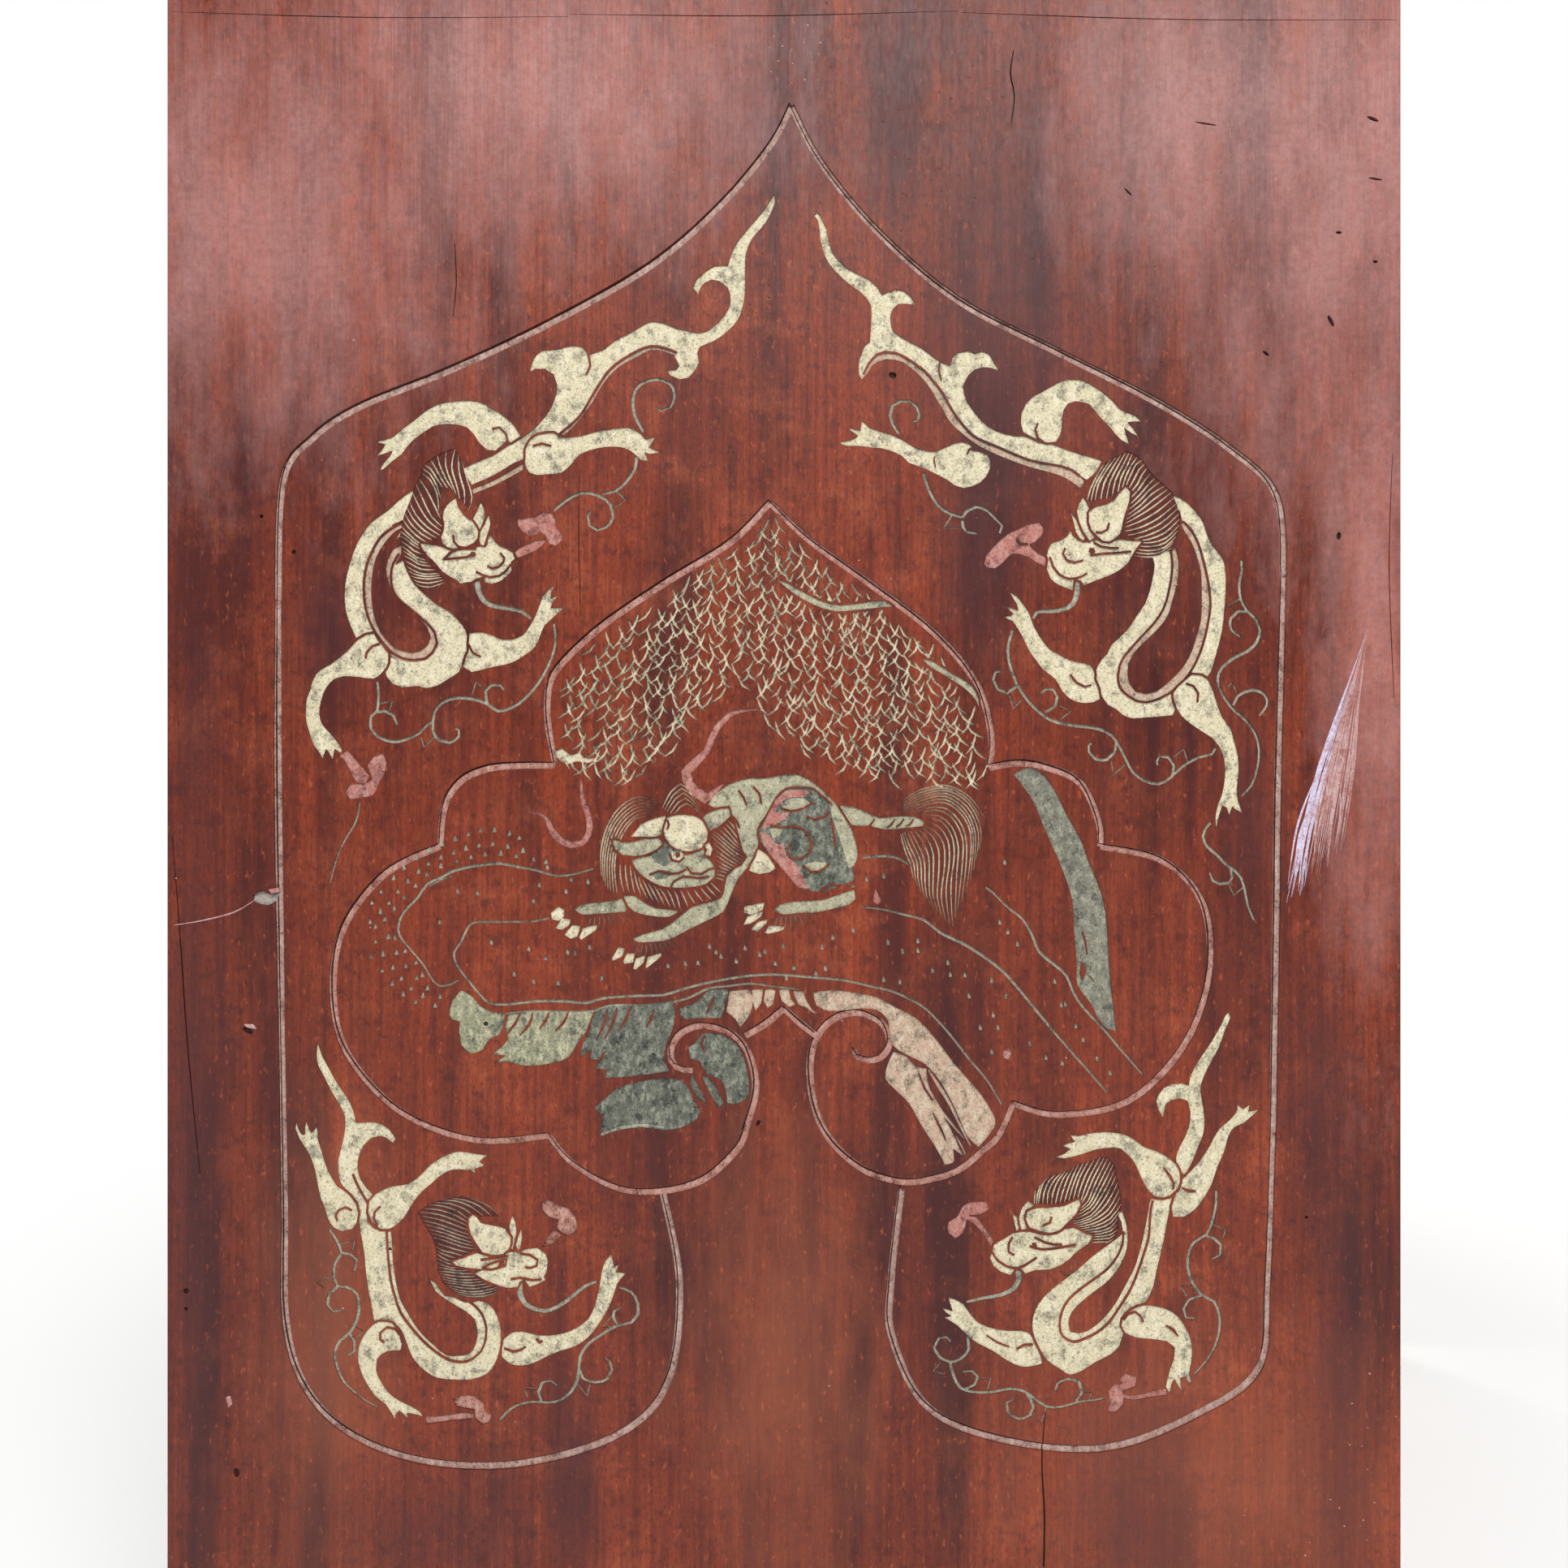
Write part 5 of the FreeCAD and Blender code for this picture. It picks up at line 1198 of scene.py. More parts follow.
twigs = numpy.random.default_rng(7)
for row in range(TWIG_ROWS):
    for column in range(-TWIG_COLUMNS, TWIG_COLUMNS + 1):
        for side in (-1, 1):
            x = TWIG_TOP[0] + column * TWIG_SPACING + side * TWIG_SPACING * 0.25 + twigs.uniform(-4.5, 4.5)
            y = TWIG_TOP[1] + row * LEAF_SPACING + (column % 2) * LEAF_SPACING / 2 + twigs.uniform(-5, 5)
            reach = side * twigs.uniform(*TWIG_REACH) + (x - TWIG_TOP[0]) / TWIG_FAN
            drop = twigs.uniform(*TWIG_DROP)
            tip = (x + reach, y + drop)
            if under_arch(x, y) and under_arch(*tip) and twigs.uniform() < TWIG_SHARE:
                faded = x < FADED_RIGHT or y < FADED_FOOT
                pale = twigs.uniform() < (FADED_PALE_SHARE if faded else PALE_SHARE)
                bend = (x + reach * 0.36, y + drop * 0.62)
                stroke("cream" if pale else "stone", TWIG_WIDTHS, (x, y), bend, tip)
limb("stone", (956, 713), (968, 717), (988, 728), (1012, 740), (1035, 745), (1067, 742), (1087, 739),
     (1101, 747), (1087, 748), (1059, 751), (1031, 753), (1008, 747), (984, 735), (968, 723))
limb("stone", (1136, 811), (1150, 815), (1166, 825), (1186, 837), (1198, 845), (1206, 861), (1207, 873),
     (1203, 863), (1190, 849), (1166, 833), (1146, 821))
cut("cream", (683, 926), (692, 922), (702, 930), (714, 928), (720, 934), (736, 934), (726, 940),
    (710, 938), (698, 942), (688, 936))

# Beast: tail hair, mane, body, haunch with curls of fur, head, legs and claws, and flames
hair("cream", 2,
     ((1114, 985), (1137, 972), (1168, 968), (1195, 982), (1214, 1008)),
     ((1113, 993), (1134, 980), (1166, 974), (1194, 990), (1209, 1022), (1206, 1048)),
     ((1113, 998), (1136, 986), (1165, 981), (1190, 998), (1202, 1028), (1200, 1072)),
     ((1117, 1002), (1140, 992), (1165, 989), (1187, 1006), (1197, 1036), (1191, 1100)),
     ((1130, 1003), (1152, 998), (1172, 1006), (1186, 1032), (1186, 1064), (1180, 1122)),
     ((1140, 1007), (1160, 1012), (1173, 1030), (1176, 1054), (1172, 1092), (1174, 1142)),
     ((1139, 1018), (1152, 1024), (1163, 1040), (1164, 1068), (1160, 1104), (1166, 1136)),
     ((1132, 1022), (1142, 1032), (1150, 1052), (1150, 1082), (1150, 1104), (1156, 1124)),
     ((1122, 1024), (1130, 1038), (1139, 1060), (1140, 1086), (1142, 1104), (1147, 1116)),
     ((1114, 1024), (1120, 1040), (1130, 1062), (1131, 1080), (1133, 1092), (1135, 1100)),
     ((1110, 1028), (1116, 1050), (1122, 1064), (1124, 1074), (1125, 1080), (1126, 1084)))
hair("cream", 2,
     ((741, 1080), (740, 1050), (748, 1018), (764, 994), (786, 982), (812, 988)),
     ((746, 1092), (745, 1056), (753, 1022), (770, 1000), (788, 990), (811, 994)),
     ((752, 1098), (751, 1062), (758, 1030), (772, 1008), (790, 998), (810, 1000)),
     ((760, 1102), (757, 1070), (760, 1046), (768, 1026), (784, 1008), (806, 1006)))
hair("cream", 2,
     ((816, 996), (826, 976), (838, 966), (850, 972), (858, 984)),
     ((822, 1000), (832, 984), (842, 977), (852, 984), (860, 994)),
     ((830, 1004), (838, 994), (846, 990), (856, 996), (864, 1004)))
hair("cream", 2,
     ((764, 1064), (764, 1078), (766, 1090), (769, 1100)),
     ((776, 1066), (778, 1082), (780, 1092), (782, 1102)),
     ((786, 1080), (790, 1092), (794, 1100), (798, 1108)),
     ((798, 1088), (804, 1098), (808, 1106), (812, 1114)),
     ((812, 1094), (818, 1102), (822, 1110), (826, 1118)),
     ((830, 1097), (834, 1104), (836, 1112), (838, 1120)),
     ((846, 1096), (850, 1104), (854, 1110), (857, 1116)),
     ((862, 1092), (868, 1100), (874, 1106), (880, 1112)),
     ((874, 1086), (880, 1092), (886, 1098), (892, 1102)))
hair("cream", 2,
     ((878, 1082), (884, 1082), (890, 1084), (896, 1086)),
     ((882, 1072), (890, 1074), (897, 1076), (902, 1080)),
     ((884, 1060), (892, 1066), (900, 1070), (908, 1074)),
     ((880, 1046), (890, 1054), (902, 1062), (914, 1068)),
     ((876, 1030), (888, 1040), (902, 1052), (918, 1062)),
     ((880, 1024), (892, 1034), (904, 1044), (916, 1052)),
     ((890, 1018), (898, 1026), (906, 1036), (914, 1044)),
     ((896, 1010), (902, 1016), (908, 1024), (912, 1032)))
limb("stone", (872, 991), (879, 982), (889, 972), (904, 964), (923, 959), (942, 959), (958, 956),
     (977, 954), (992, 958), (1007, 968), (1023, 983), (1036, 997), (1046, 1014), (1053, 1033),
     (1057, 1052), (1053, 1066), (1055, 1085), (1053, 1094), (1030, 1090), (1000, 1078), (960, 1040),
     (935, 1023), (934, 1040), (930, 1056), (923, 1066), (908, 1085), (900, 1104), (891, 1123),
     (870, 1135), (847, 1146), (824, 1158), (801, 1161), (785, 1161), (779, 1157), (793, 1151),
     (812, 1146), (827, 1138), (843, 1125), (854, 1117), (873, 1112), (889, 1106), (893, 1093),
     (896, 1079), (904, 1071), (914, 1066), (921, 1056), (916, 1049), (912, 1035), (908, 1020),
     (904, 1008), (900, 1001), (885, 997))
limb("cream", (934, 1046), (946, 1054), (956, 1070), (948, 1075), (935, 1077), (923, 1073), (925, 1066),
     (931, 1056))
limb("slate", (1000, 972), (984, 971), (969, 973), (958, 983), (950, 997), (944, 1008), (935, 1022),
     (937, 1036), (948, 1050), (962, 1062), (974, 1076), (990, 1092), (1008, 1100), (1030, 1094),
     (1053, 1088), (1050, 1068), (1040, 1040), (1036, 1012), (1022, 990))
cut("stone", (1022, 990), (1036, 997), (1046, 1014), (1053, 1033), (1057, 1052), (1053, 1066),
    (1046, 1070), (1040, 1050), (1034, 1030), (1026, 1008))
cut("pink", (956, 985), (966, 976), (984, 973), (998, 976), (992, 982), (974, 982), (962, 990),
    (955, 1000), (962, 1002), (974, 1000), (966, 1010), (950, 1018), (938, 1022), (944, 1008))
cut("pink", (936, 1024), (948, 1030), (956, 1040), (966, 1040), (968, 1054), (980, 1064), (990, 1080),
    (995, 1096), (984, 1094), (972, 1080), (960, 1066), (948, 1052), (940, 1038))
cut("stone", (962, 990), (974, 984), (990, 984), (1000, 990), (992, 998), (974, 998), (964, 996))
cut("stone", (948, 1022), (958, 1018), (966, 1020), (960, 1030), (952, 1032))
cut("stone", (990, 1066), (1004, 1062), (1022, 1064), (1010, 1072), (996, 1076))
dark_line((949, 1016), (962, 1020), (976, 1018), (990, 1022), (999, 1036), (998, 1050), (988, 1058),
          (976, 1058), (970, 1050), (974, 1038))
dark_line((962, 996), (974, 999), (990, 996), (1002, 988))
dark_line((994, 1006), (1004, 1010), (1016, 1006), (1022, 1000))
dark_line((1024, 1008), (1027, 1024), (1030, 1044))
dark_line((990, 1066), (998, 1074), (1010, 1074), (1022, 1064))
dark_line((1008, 1100), (1024, 1090), (1040, 1092), (1052, 1086))
dark_line((910, 974), (916, 982), (920, 992))
dark_line((928, 969), (936, 978), (938, 990))
dark_line((903, 1006), (908, 1012), (911, 1020))
limb("stone", (1053, 1096), (1054, 1108), (1046, 1115), (1030, 1119), (1007, 1124), (984, 1125),
     (965, 1127), (953, 1122), (960, 1115), (977, 1111), (1000, 1110), (1017, 1108), (1034, 1102))
limb("stone", (1034, 992), (1053, 995), (1072, 1003), (1084, 1008), (1103, 1006), (1126, 1006),
     (1139, 1012), (1137, 1018), (1118, 1020), (1092, 1022), (1072, 1018), (1049, 1016), (1042, 1005))
TAIL_BAND = (1.4, 2.4, 1.4)
for start, end in (
        ((1068, 1019), (1078, 1009)), ((1093, 1020), (1103, 1009)), ((1104, 1019), (1114, 1009)),
        ((1117, 1018), (1126, 1009))):
    stroke("film", TAIL_BAND, start, ((start[0] + end[0]) / 2, (start[1] + end[1]) / 2 + 2), end)
limb("stone", (707, 1121), (716, 1115), (736, 1112), (755, 1110), (768, 1106), (772, 1123), (755, 1125),
     (736, 1126), (716, 1127))
limb("stone", (768, 1104), (782, 1104), (793, 1112), (808, 1119), (827, 1121), (836, 1123), (824, 1130),
     (804, 1129), (785, 1125), (774, 1117))
for claw in (
        ((678, 1125), (688, 1117), (695, 1121), (695, 1129), (688, 1135), (680, 1133)),
        ((684, 1144), (692, 1131), (703, 1133), (701, 1140), (692, 1146)),
        ((695, 1152), (705, 1140), (715, 1140), (711, 1154), (703, 1157)),
        ((713, 1156), (718, 1144), (736, 1140), (734, 1146), (716, 1158)),
        ((753, 1182), (762, 1167), (770, 1169), (766, 1179), (755, 1184)),
        ((767, 1186), (772, 1175), (782, 1175), (780, 1186), (770, 1188)),
        ((780, 1194), (783, 1181), (795, 1177), (793, 1186), (783, 1195)),
        ((795, 1192), (798, 1179), (815, 1174), (814, 1179), (797, 1193)),
        ((917, 1117), (931, 1114), (942, 1112), (940, 1121), (925, 1127), (917, 1125)),
        ((916, 1140), (921, 1129), (940, 1123), (938, 1129), (925, 1138)),
        ((925, 1146), (935, 1135), (946, 1133), (944, 1138), (933, 1148)),
        ((942, 1149), (948, 1140), (967, 1142), (965, 1146), (946, 1151))):
    cut("cream", *claw)
FUR_WIDTHS = (1.3, 1.1, 0.5)
FUR_STRANDS = 9
for root_x, root_y, reach in ((742, 1128, 34), (800, 1163, 30), (972, 1128, 34)):
    for number in range(FUR_STRANDS):
        x = root_x - 14 + number * 5
        y = root_y + 2 - number * 0.8
        angle = math.radians(112 - number * 9)
        tip = (x + reach * 0.5 * math.cos(angle), y + reach * 0.5 * math.sin(angle))
        stroke("sage", FUR_WIDTHS, (x, y), ((x + tip[0]) / 2 + 1, (y + tip[1]) / 2), tip)
limb("stone", (866, 1008), (870, 1003), (885, 997), (898, 995), (900, 1005), (893, 1012), (883, 1020),
     (873, 1024))
limb("stone", (778, 1060), (789, 1056), (805, 1054), (820, 1044), (866, 1044), (870, 1056), (877, 1062),
     (881, 1070), (880, 1081), (870, 1089), (854, 1093), (831, 1094), (812, 1091), (797, 1083),
     (785, 1073))
cut("slate", (806, 1040), (820, 1036), (834, 1048), (830, 1060), (818, 1068), (806, 1062), (800, 1052))
cut("slate", (802, 1076), (816, 1072), (828, 1074), (822, 1082), (808, 1084))
limb("stone", (754, 1033), (766, 1038), (782, 1037), (797, 1032), (812, 1031), (816, 1040), (808, 1047),
     (797, 1052), (782, 1055), (766, 1053), (758, 1047))
limb("cream", (776, 1031), (783, 1024), (789, 1016), (805, 1009), (820, 1005), (822, 1020), (812, 1030),
     (797, 1031))
limb("cream", (820, 1014), (822, 1007), (835, 1004), (854, 1005), (866, 1012), (872, 1024), (871, 1035),
     (864, 1045), (849, 1049), (835, 1047), (826, 1041), (820, 1033), (817, 1024))
dark_line((822, 1010), (824, 1016), (822, 1022))
limb("cream", (868, 1041), (874, 1038), (878, 1046), (875, 1055), (869, 1054), (871, 1047))
cut("cream", (827, 1050), (832, 1047), (840, 1049), (841, 1056), (836, 1060), (828, 1058))
cut("film", (832, 1051), (837, 1050), (838, 1055), (833, 1057))
dark_line((825, 1052), (828, 1060), (837, 1062), (843, 1056))
dark_line((842, 1052), (852, 1051), (860, 1048))
dark_line((800, 1078), (812, 1073), (824, 1077), (836, 1076), (846, 1071))
dark_line((846, 1068), (852, 1076), (864, 1077), (874, 1071), (880, 1070))
dark_line((826, 1094), (830, 1086), (842, 1080), (860, 1082), (874, 1080))
stroke("pink", (1.2, 3.5, 6.0, 8.0, 8.0, 8.0, 10.0, 12.0, 13.0, 12.0, 7.0), (938, 873), (919, 875),
       (904, 878), (893, 886), (883, 897), (877, 909), (871, 924), (858, 938), (845, 951), (849, 966),
       (860, 978), (871, 988))
cut("pink", (862, 970), (872, 976), (881, 971), (894, 963), (886, 974), (876, 986), (868, 988))
stroke("pink", (1.2, 3.5, 7.0, 9.0, 9.0, 8.0, 8.0, 8.0, 7.0, 5.0, 1.4), (648, 1001), (663, 1002),
       (674, 1010), (680, 1024), (690, 1035), (703, 1041), (716, 1039), (725, 1027), (726, 1012),
       (722, 997), (717, 982), (716, 959))

# Upper panels. The same dragons fill the tall field, round a ring of vine and fungus, and a vine with
# fungus runs along the waist band and the top band.
FIELD_MIDDLE = (966, -1730)
RING_RADII = (352, 318)
RING_LINE = 9
CURL_CIRCLE = 205
CURL_SHRINK = 0.72
BIG_CURL = 74
SMALL_CURL = 46
BIG_CURL_WIDTHS = (3.0, 8.0, 6.0, 3.0)
FUNGUS_CIRCLE = 268
FUNGUS_TURN = 0.52
FUNGUS_SIZE = 42
MIDDLE_FUNGUS_SIZE = 96
BAND_STEP = 36
BAND_STEPS = 14
BAND_WAVE = 44
BAND_VINE = (3.0, 6.0, 6.0, 3.0)
BAND_CURL = 40
BAND_CURL_WIDTHS = (7.0, 5.0, 3.0)
BAND_CURL_REACH = 520
BAND_FUNGUS_SIZE = 44
UPPER_SHIFT = -3420
LOWER_SHIFT = -2330
for dragons, shift in ((dragons_above, UPPER_SHIFT), (dragons_below, LOWER_SHIFT)):
    for colour, points in dragons:
        drawing.append((colour, [Vector((point.x, point.y + shift)) for point in points]))


def curl(x, y, radius, start, turns, hand):
    """Points of a curl that winds in from its start angle."""
    steps = max(6, round(turns * 10))
    points = []
    for step in range(steps + 1):
        share = step / steps
        angle = math.radians(start) + hand * 2 * math.pi * turns * share
        away = radius * (1 - CURL_SHRINK * share)
        points.append((x + away * math.cos(angle), y + away * math.sin(angle)))
    return points


def fungus(x, y, size):
    """A lingzhi with three lobes on a short stem."""
    stroke("pink", (0.22 * size, 0.16 * size), (x, y), (x, y + size * 0.75))
    for dx, dy, share in ((-0.34, -0.02, 0.30), (0.34, -0.02, 0.30), (0.0, -0.22, 0.34)):
        lobe = []
        for degrees in range(0, 360, 36):
            angle = math.radians(degrees)
            across = x + dx * size + share * size * math.cos(angle)
            lobe.append((across, y + dy * size + share * size * 0.8 * math.sin(angle)))
        cut("pink", *lobe)
    low = y + 0.08 * size
    dark_line((x - 0.4 * size, low), (x, y - 0.04 * size), (x + 0.4 * size, low))


field_middle = Vector(FIELD_MIDDLE)
for radius in RING_RADII:
    ring = []
    for degrees in range(0, 360, 4):
        angle = math.radians(degrees)
        ring.append(Vector((
            FIELD_MIDDLE[0] + radius * math.cos(angle), FIELD_MIDDLE[1] + radius * math.sin(angle))))
    inner = [field_middle + (place - field_middle) * ((radius - RING_LINE) / radius) for place in ring]
    drawing.append(("rose", ring))
    drawing.append(("film", inner))
for step in range(6):
    degrees = 60 * step + 30
    angle = math.radians(degrees)
    hand = 1 if step % 2 else -1
    x = FIELD_MIDDLE[0] + CURL_CIRCLE * math.cos(angle)
    y = FIELD_MIDDLE[1] + CURL_CIRCLE * math.sin(angle)
    stroke("cream", BIG_CURL_WIDTHS, *curl(x, y, BIG_CURL, degrees, 1.3, hand))
    vine(*curl(x, y, SMALL_CURL, degrees + 180, 0.7, -hand))
    x = FIELD_MIDDLE[0] + FUNGUS_CIRCLE * math.cos(angle + FUNGUS_TURN)
    y = FIELD_MIDDLE[1] + FUNGUS_CIRCLE * math.sin(angle + FUNGUS_TURN)
    fungus(x, y, FUNGUS_SIZE)
fungus(FIELD_MIDDLE[0], FIELD_MIDDLE[1] - 10, MIDDLE_FUNGUS_SIZE)
for low in (waist_bottom, band_bottom):
    x, y = on_drawing(LEAF_WIDTH / 2, low + BAND_HEIGHT / 2)
    stroke("sage", BAND_VINE, *[
        (x + step * BAND_STEP, y + BAND_WAVE * math.sin(math.radians(step * 45)))
        for step in range(-BAND_STEPS, BAND_STEPS + 1)])
    for step in range(-12, 13, 4):
        up = -1 if (step // 4) % 2 else 1
        place = x + (step + 2) * BAND_STEP
        if abs(place - x) < BAND_CURL_REACH:
            stroke("cream", BAND_CURL_WIDTHS, *curl(place, y - up * 4, BAND_CURL, 90 * up, 1.1, up))
    for step in range(-12, 13, 8):
        fungus(x + step * BAND_STEP, y - 46 if step % 16 else y + 40, BAND_FUNGUS_SIZE)

# Wear of the first leaf: cracks along the seams of its boards, beetle holes, dents, a chip that bares
# the ground, a scrape and specks of paint. They lie in a list of their own, cut only into that leaf.
garden = drawing
drawing = wear = []
for widths, points in (
        ((1.0, 2.0, 1.6, 0.8), ((1249, 62), (1245, 90), (1250, 118), (1246, 152))),
        ((0.8, 1.8, 2.2, 2.4), ((1288, 1740), (1284, 1800), (1287, 1870), (1286, 1932))),
        ((0.8, 1.6, 1.6, 0.8), ((212, 1030), (222, 1160), (231, 1291), (246, 1447))),
        ((0.6, 1.2, 0.6), ((714, 579), (713, 668), (715, 757))),
        ((0.8, 1.4, 0.8), ((1716, 560), (1712, 700), (1718, 860))),
        ((0.8, 1.6, 0.8), ((560, 300), (562, 350), (558, 390)))):
    stroke("grime", widths, *points)
# Painted shade along the crease across the top, where a batten's edge shows through: a thin dark groove in
# three runs
CREASE_WIDTHS = (0.5, 1.4, 1.1, 0.5)
CREASE_SAG = 4
for start, end in (((212, 14), (700, 20)), ((702, 17), (1180, 13)), ((1184, 15), (1720, 24))):
    middle = ((start[0] + end[0]) / 2, (start[1] + end[1]) / 2 + CREASE_SAG)
    stroke("grime", CREASE_WIDTHS, start, middle, end)
# Dents and beetle holes, filled near-black for the dirt and the painted shade in their hollows
for x, y, half_width, half_height, lean in (
        (305, 1270, 7, 3.5, 0.3), (1640, 395, 8, 2.6, 0.7), (1695, 220, 9, 1.6, 0.1),
        (1692, 146, 8, 2.4, 0.25), (1650, 286, 4, 2, 0.0), (1695, 322, 3, 2, 0.0), (1560, 435, 5, 1.8, 0.4),
        (1486, 152, 14, 1.3, 0.1), (229, 1591, 3.4, 3.4, 0.0), (229, 1613, 2.4, 2.4, 0.0),
        (291, 1815, 4, 6, 0.0), (362, 680, 3, 3, 0.0), (322, 636, 2.4, 2.4, 0.0), (1100, 462, 5, 4, 0.2),
        (1650, 660, 3, 5, 0.1), (934, 1384, 2.4, 4, 0.3), (1390, 236, 7, 1.2, 0.5), (598, 1262, 3, 3, 0.0),
        (1610, 1500, 2, 2, 0.0), (480, 1540, 2, 2, 0.0)):
    turn = lean * math.pi / 2
    dent = []
    for angle in (step * math.pi / 5 for step in range(10)):
        along = half_width * math.cos(angle)
        across = half_height * math.sin(angle)
        dent.append((
            x + along * math.cos(turn) - across * math.sin(turn),
            y + along * math.sin(turn) + across * math.cos(turn)))
    cut("grime", *dent)
cut("bare", (312, 1102), (322, 1098), (334, 1102), (343, 1100), (340, 1110), (330, 1116), (318, 1114),
    (310, 1110))
cut("pale", (330, 1096), (342, 1094), (344, 1099), (334, 1101))
stroke("pale", (0.8, 2.2, 1.6, 0.8), (312, 1110), (288, 1124), (250, 1134), (214, 1140))
cut("pale", (278, 1722), (283, 1720), (286, 1730), (281, 1735))
cut("pale", (300, 1262), (312, 1262), (316, 1268), (304, 1266))
SCRAPE_STROKES = 58
SCRAPE_GAPS = ((0.30, 0.38), (0.56, 0.62), (0.78, 0.83))
SCRAPE_TOP = (1686, 774)
SCRAPE_FOOT = (1587, 1112)
SCRAPE_WIDTHS = (1.4, 3.6)
BLUE_SHARE = 0.3
PAINT_SPECKS = 60
# Where specks of paint lie, each as its corners
SPECKED = (((1600, 1690), (1722, 1926)), ((945, 24), (1015, 108)), ((212, 400), (1720, 1925)))
scrapes = numpy.random.default_rng(3)
for number in range(SCRAPE_STROKES):
    share = number / (SCRAPE_STROKES - 1)
    if any(low < share < high for low, high in SCRAPE_GAPS):
        continue
    apex = scrapes.uniform(0.0, 0.70)
    foot = (SCRAPE_FOOT[0] + 70 * share + scrapes.uniform(-3, 3),
            SCRAPE_FOOT[1] - 62 * share + scrapes.uniform(-40, 10))
    start = (SCRAPE_TOP[0] + (foot[0] - SCRAPE_TOP[0]) * apex - 9 * apex,
             SCRAPE_TOP[1] + (foot[1] - SCRAPE_TOP[1]) * apex)
    middle = ((start[0] + foot[0]) / 2 - 9 + 13 * share, (start[1] + foot[1]) / 2)
    width = scrapes.uniform(*SCRAPE_WIDTHS) * (1.2 - share * 0.5)
    stroke("lilac" if share < BLUE_SHARE else "pale", (0.4, width, 0.4), start, middle, foot)
for number in range(PAINT_SPECKS):
    low, high = SPECKED[number % len(SPECKED)]
    x, y = scrapes.uniform(low[0], high[0]), scrapes.uniform(low[1], high[1])
    size = scrapes.uniform(0.6, 1.6)
    cut("pale", (x - size, y), (x, y - size), (x + size * 1.2, y + size * 0.2), (x, y + size))
drawing = garden

# Cutting the drawing into the fronts. The outline of the leaf, the drawing's shapes, the notches for
# the hinge plates and the holes for the shoe nails are meshed together, and each colour's triangles
# become a closed plate. Where the colour is bare, the plate of ground below shows.
FOOT_WIDTH = 0.062
FOOT_STRAIGHT = 0.046
BRACKET_RADIUS = 0.026
CUSP_WIDTH = 0.008
CUSP_DROP = 0.006
PEAK_HEIGHT = 0.092
ARCH_BULGE = 0.007
ARCH_STEPS = 12
HINGE_HEIGHT = 0.084
HINGE_HEIGHTS = (0.262, 0.951, 1.640)
NOTCH_DEPTH = 0.002
NAIL_HEIGHT = 0.017
NAIL_RADIUS = 0.0009
NAIL_SHARES = (0.27, 0.73)
NAIL_SIDES = 12
MERGE_DISTANCE = 0.02
# Noise in the pigments, each as its squeeze upright, scale, detail and roughness
MOTTLE = (1.0, 190.0, 8.0, 0.74)
GRIT = (1.0, 1300.0, 3.0, 0.65)
THICKNESS = (0.6, 420.0, 5.0, 0.7)
PIGMENT_GLOSS = 0.2
# Each pigment as its own colour, the colour of dirt in it and that of its thick flecks
PIGMENTS = {
    "cream": ((0.55, 0.49, 0.33, 1.0), (0.135, 0.125, 0.095, 1.0), (0.66, 0.60, 0.45, 1.0)),
    "tan": ((0.45, 0.31, 0.225, 1.0), (0.11, 0.095, 0.070, 1.0), (0.52, 0.44, 0.33, 1.0)),
    "stone": ((0.335, 0.315, 0.215, 1.0), (0.075, 0.075, 0.058, 1.0), (0.47, 0.44, 0.31, 1.0)),
    "moss": ((0.23, 0.23, 0.15, 1.0), (0.040, 0.048, 0.042, 1.0), (0.48, 0.45, 0.30, 1.0)),
    "sage": ((0.27, 0.26, 0.20, 1.0), (0.080, 0.080, 0.065, 1.0), (0.40, 0.38, 0.29, 1.0)),
    "slate": ((0.102, 0.108, 0.085, 1.0), (0.022, 0.025, 0.024, 1.0), (0.27, 0.275, 0.215, 1.0)),
    "ash": ((0.34, 0.205, 0.170, 1.0), (0.115, 0.055, 0.045, 1.0), (0.47, 0.35, 0.31, 1.0)),
    "rose": ((0.37, 0.175, 0.140, 1.0), (0.12, 0.040, 0.030, 1.0), (0.48, 0.30, 0.25, 1.0)),
    "bark": ((0.165, 0.160, 0.125, 1.0), (0.045, 0.047, 0.042, 1.0), (0.31, 0.30, 0.225, 1.0)),
    "pink": ((0.37, 0.145, 0.120, 1.0), (0.11, 0.045, 0.042, 1.0), (0.46, 0.26, 0.22, 1.0)),
    "pale": ((0.40, 0.23, 0.22, 1.0), (0.26, 0.09, 0.075, 1.0), (0.48, 0.34, 0.34, 1.0)),
    "lilac": ((0.48, 0.42, 0.54, 1.0), (0.30, 0.16, 0.18, 1.0), (0.60, 0.56, 0.70, 1.0)),
    "shadow": ((0.085, 0.018, 0.013, 1.0), (0.040, 0.011, 0.009, 1.0), (0.120, 0.030, 0.020, 1.0)),
    # Near-black fill: dirt in cracks, dents and holes, and painted shade along the cartouche lines and the
    # crease
    "grime": ((0.030, 0.012, 0.010, 1.0), (0.014, 0.007, 0.007, 1.0), (0.060, 0.025, 0.020, 1.0))}
GROUND_GREY = ((0.30, 0.27, 0.24, 1.0), (0.12, 0.09, 0.08, 1.0), (0.40, 0.36, 0.32, 1.0))
# How far some pigments lie below the surface. The others lie at PIGMENT_DEPTH
DEPTHS = {"ash": 0.0008, "rose": 0.0008, "pale": 0.00004, "lilac": 0.00004, "shadow": 0.0003, "grime": 0.0009}


def arc_through(start, middle, end, steps):
    """Points of a curve that bulges from its chord to a middle point, without its last point."""
    bulge = Vector(middle) - (Vector(start) + Vector(end)) / 2
    return [
        Vector(start).lerp(Vector(end), step / steps) + bulge * (4 * step / steps * (1 - step / steps))
        for step in range(steps)]


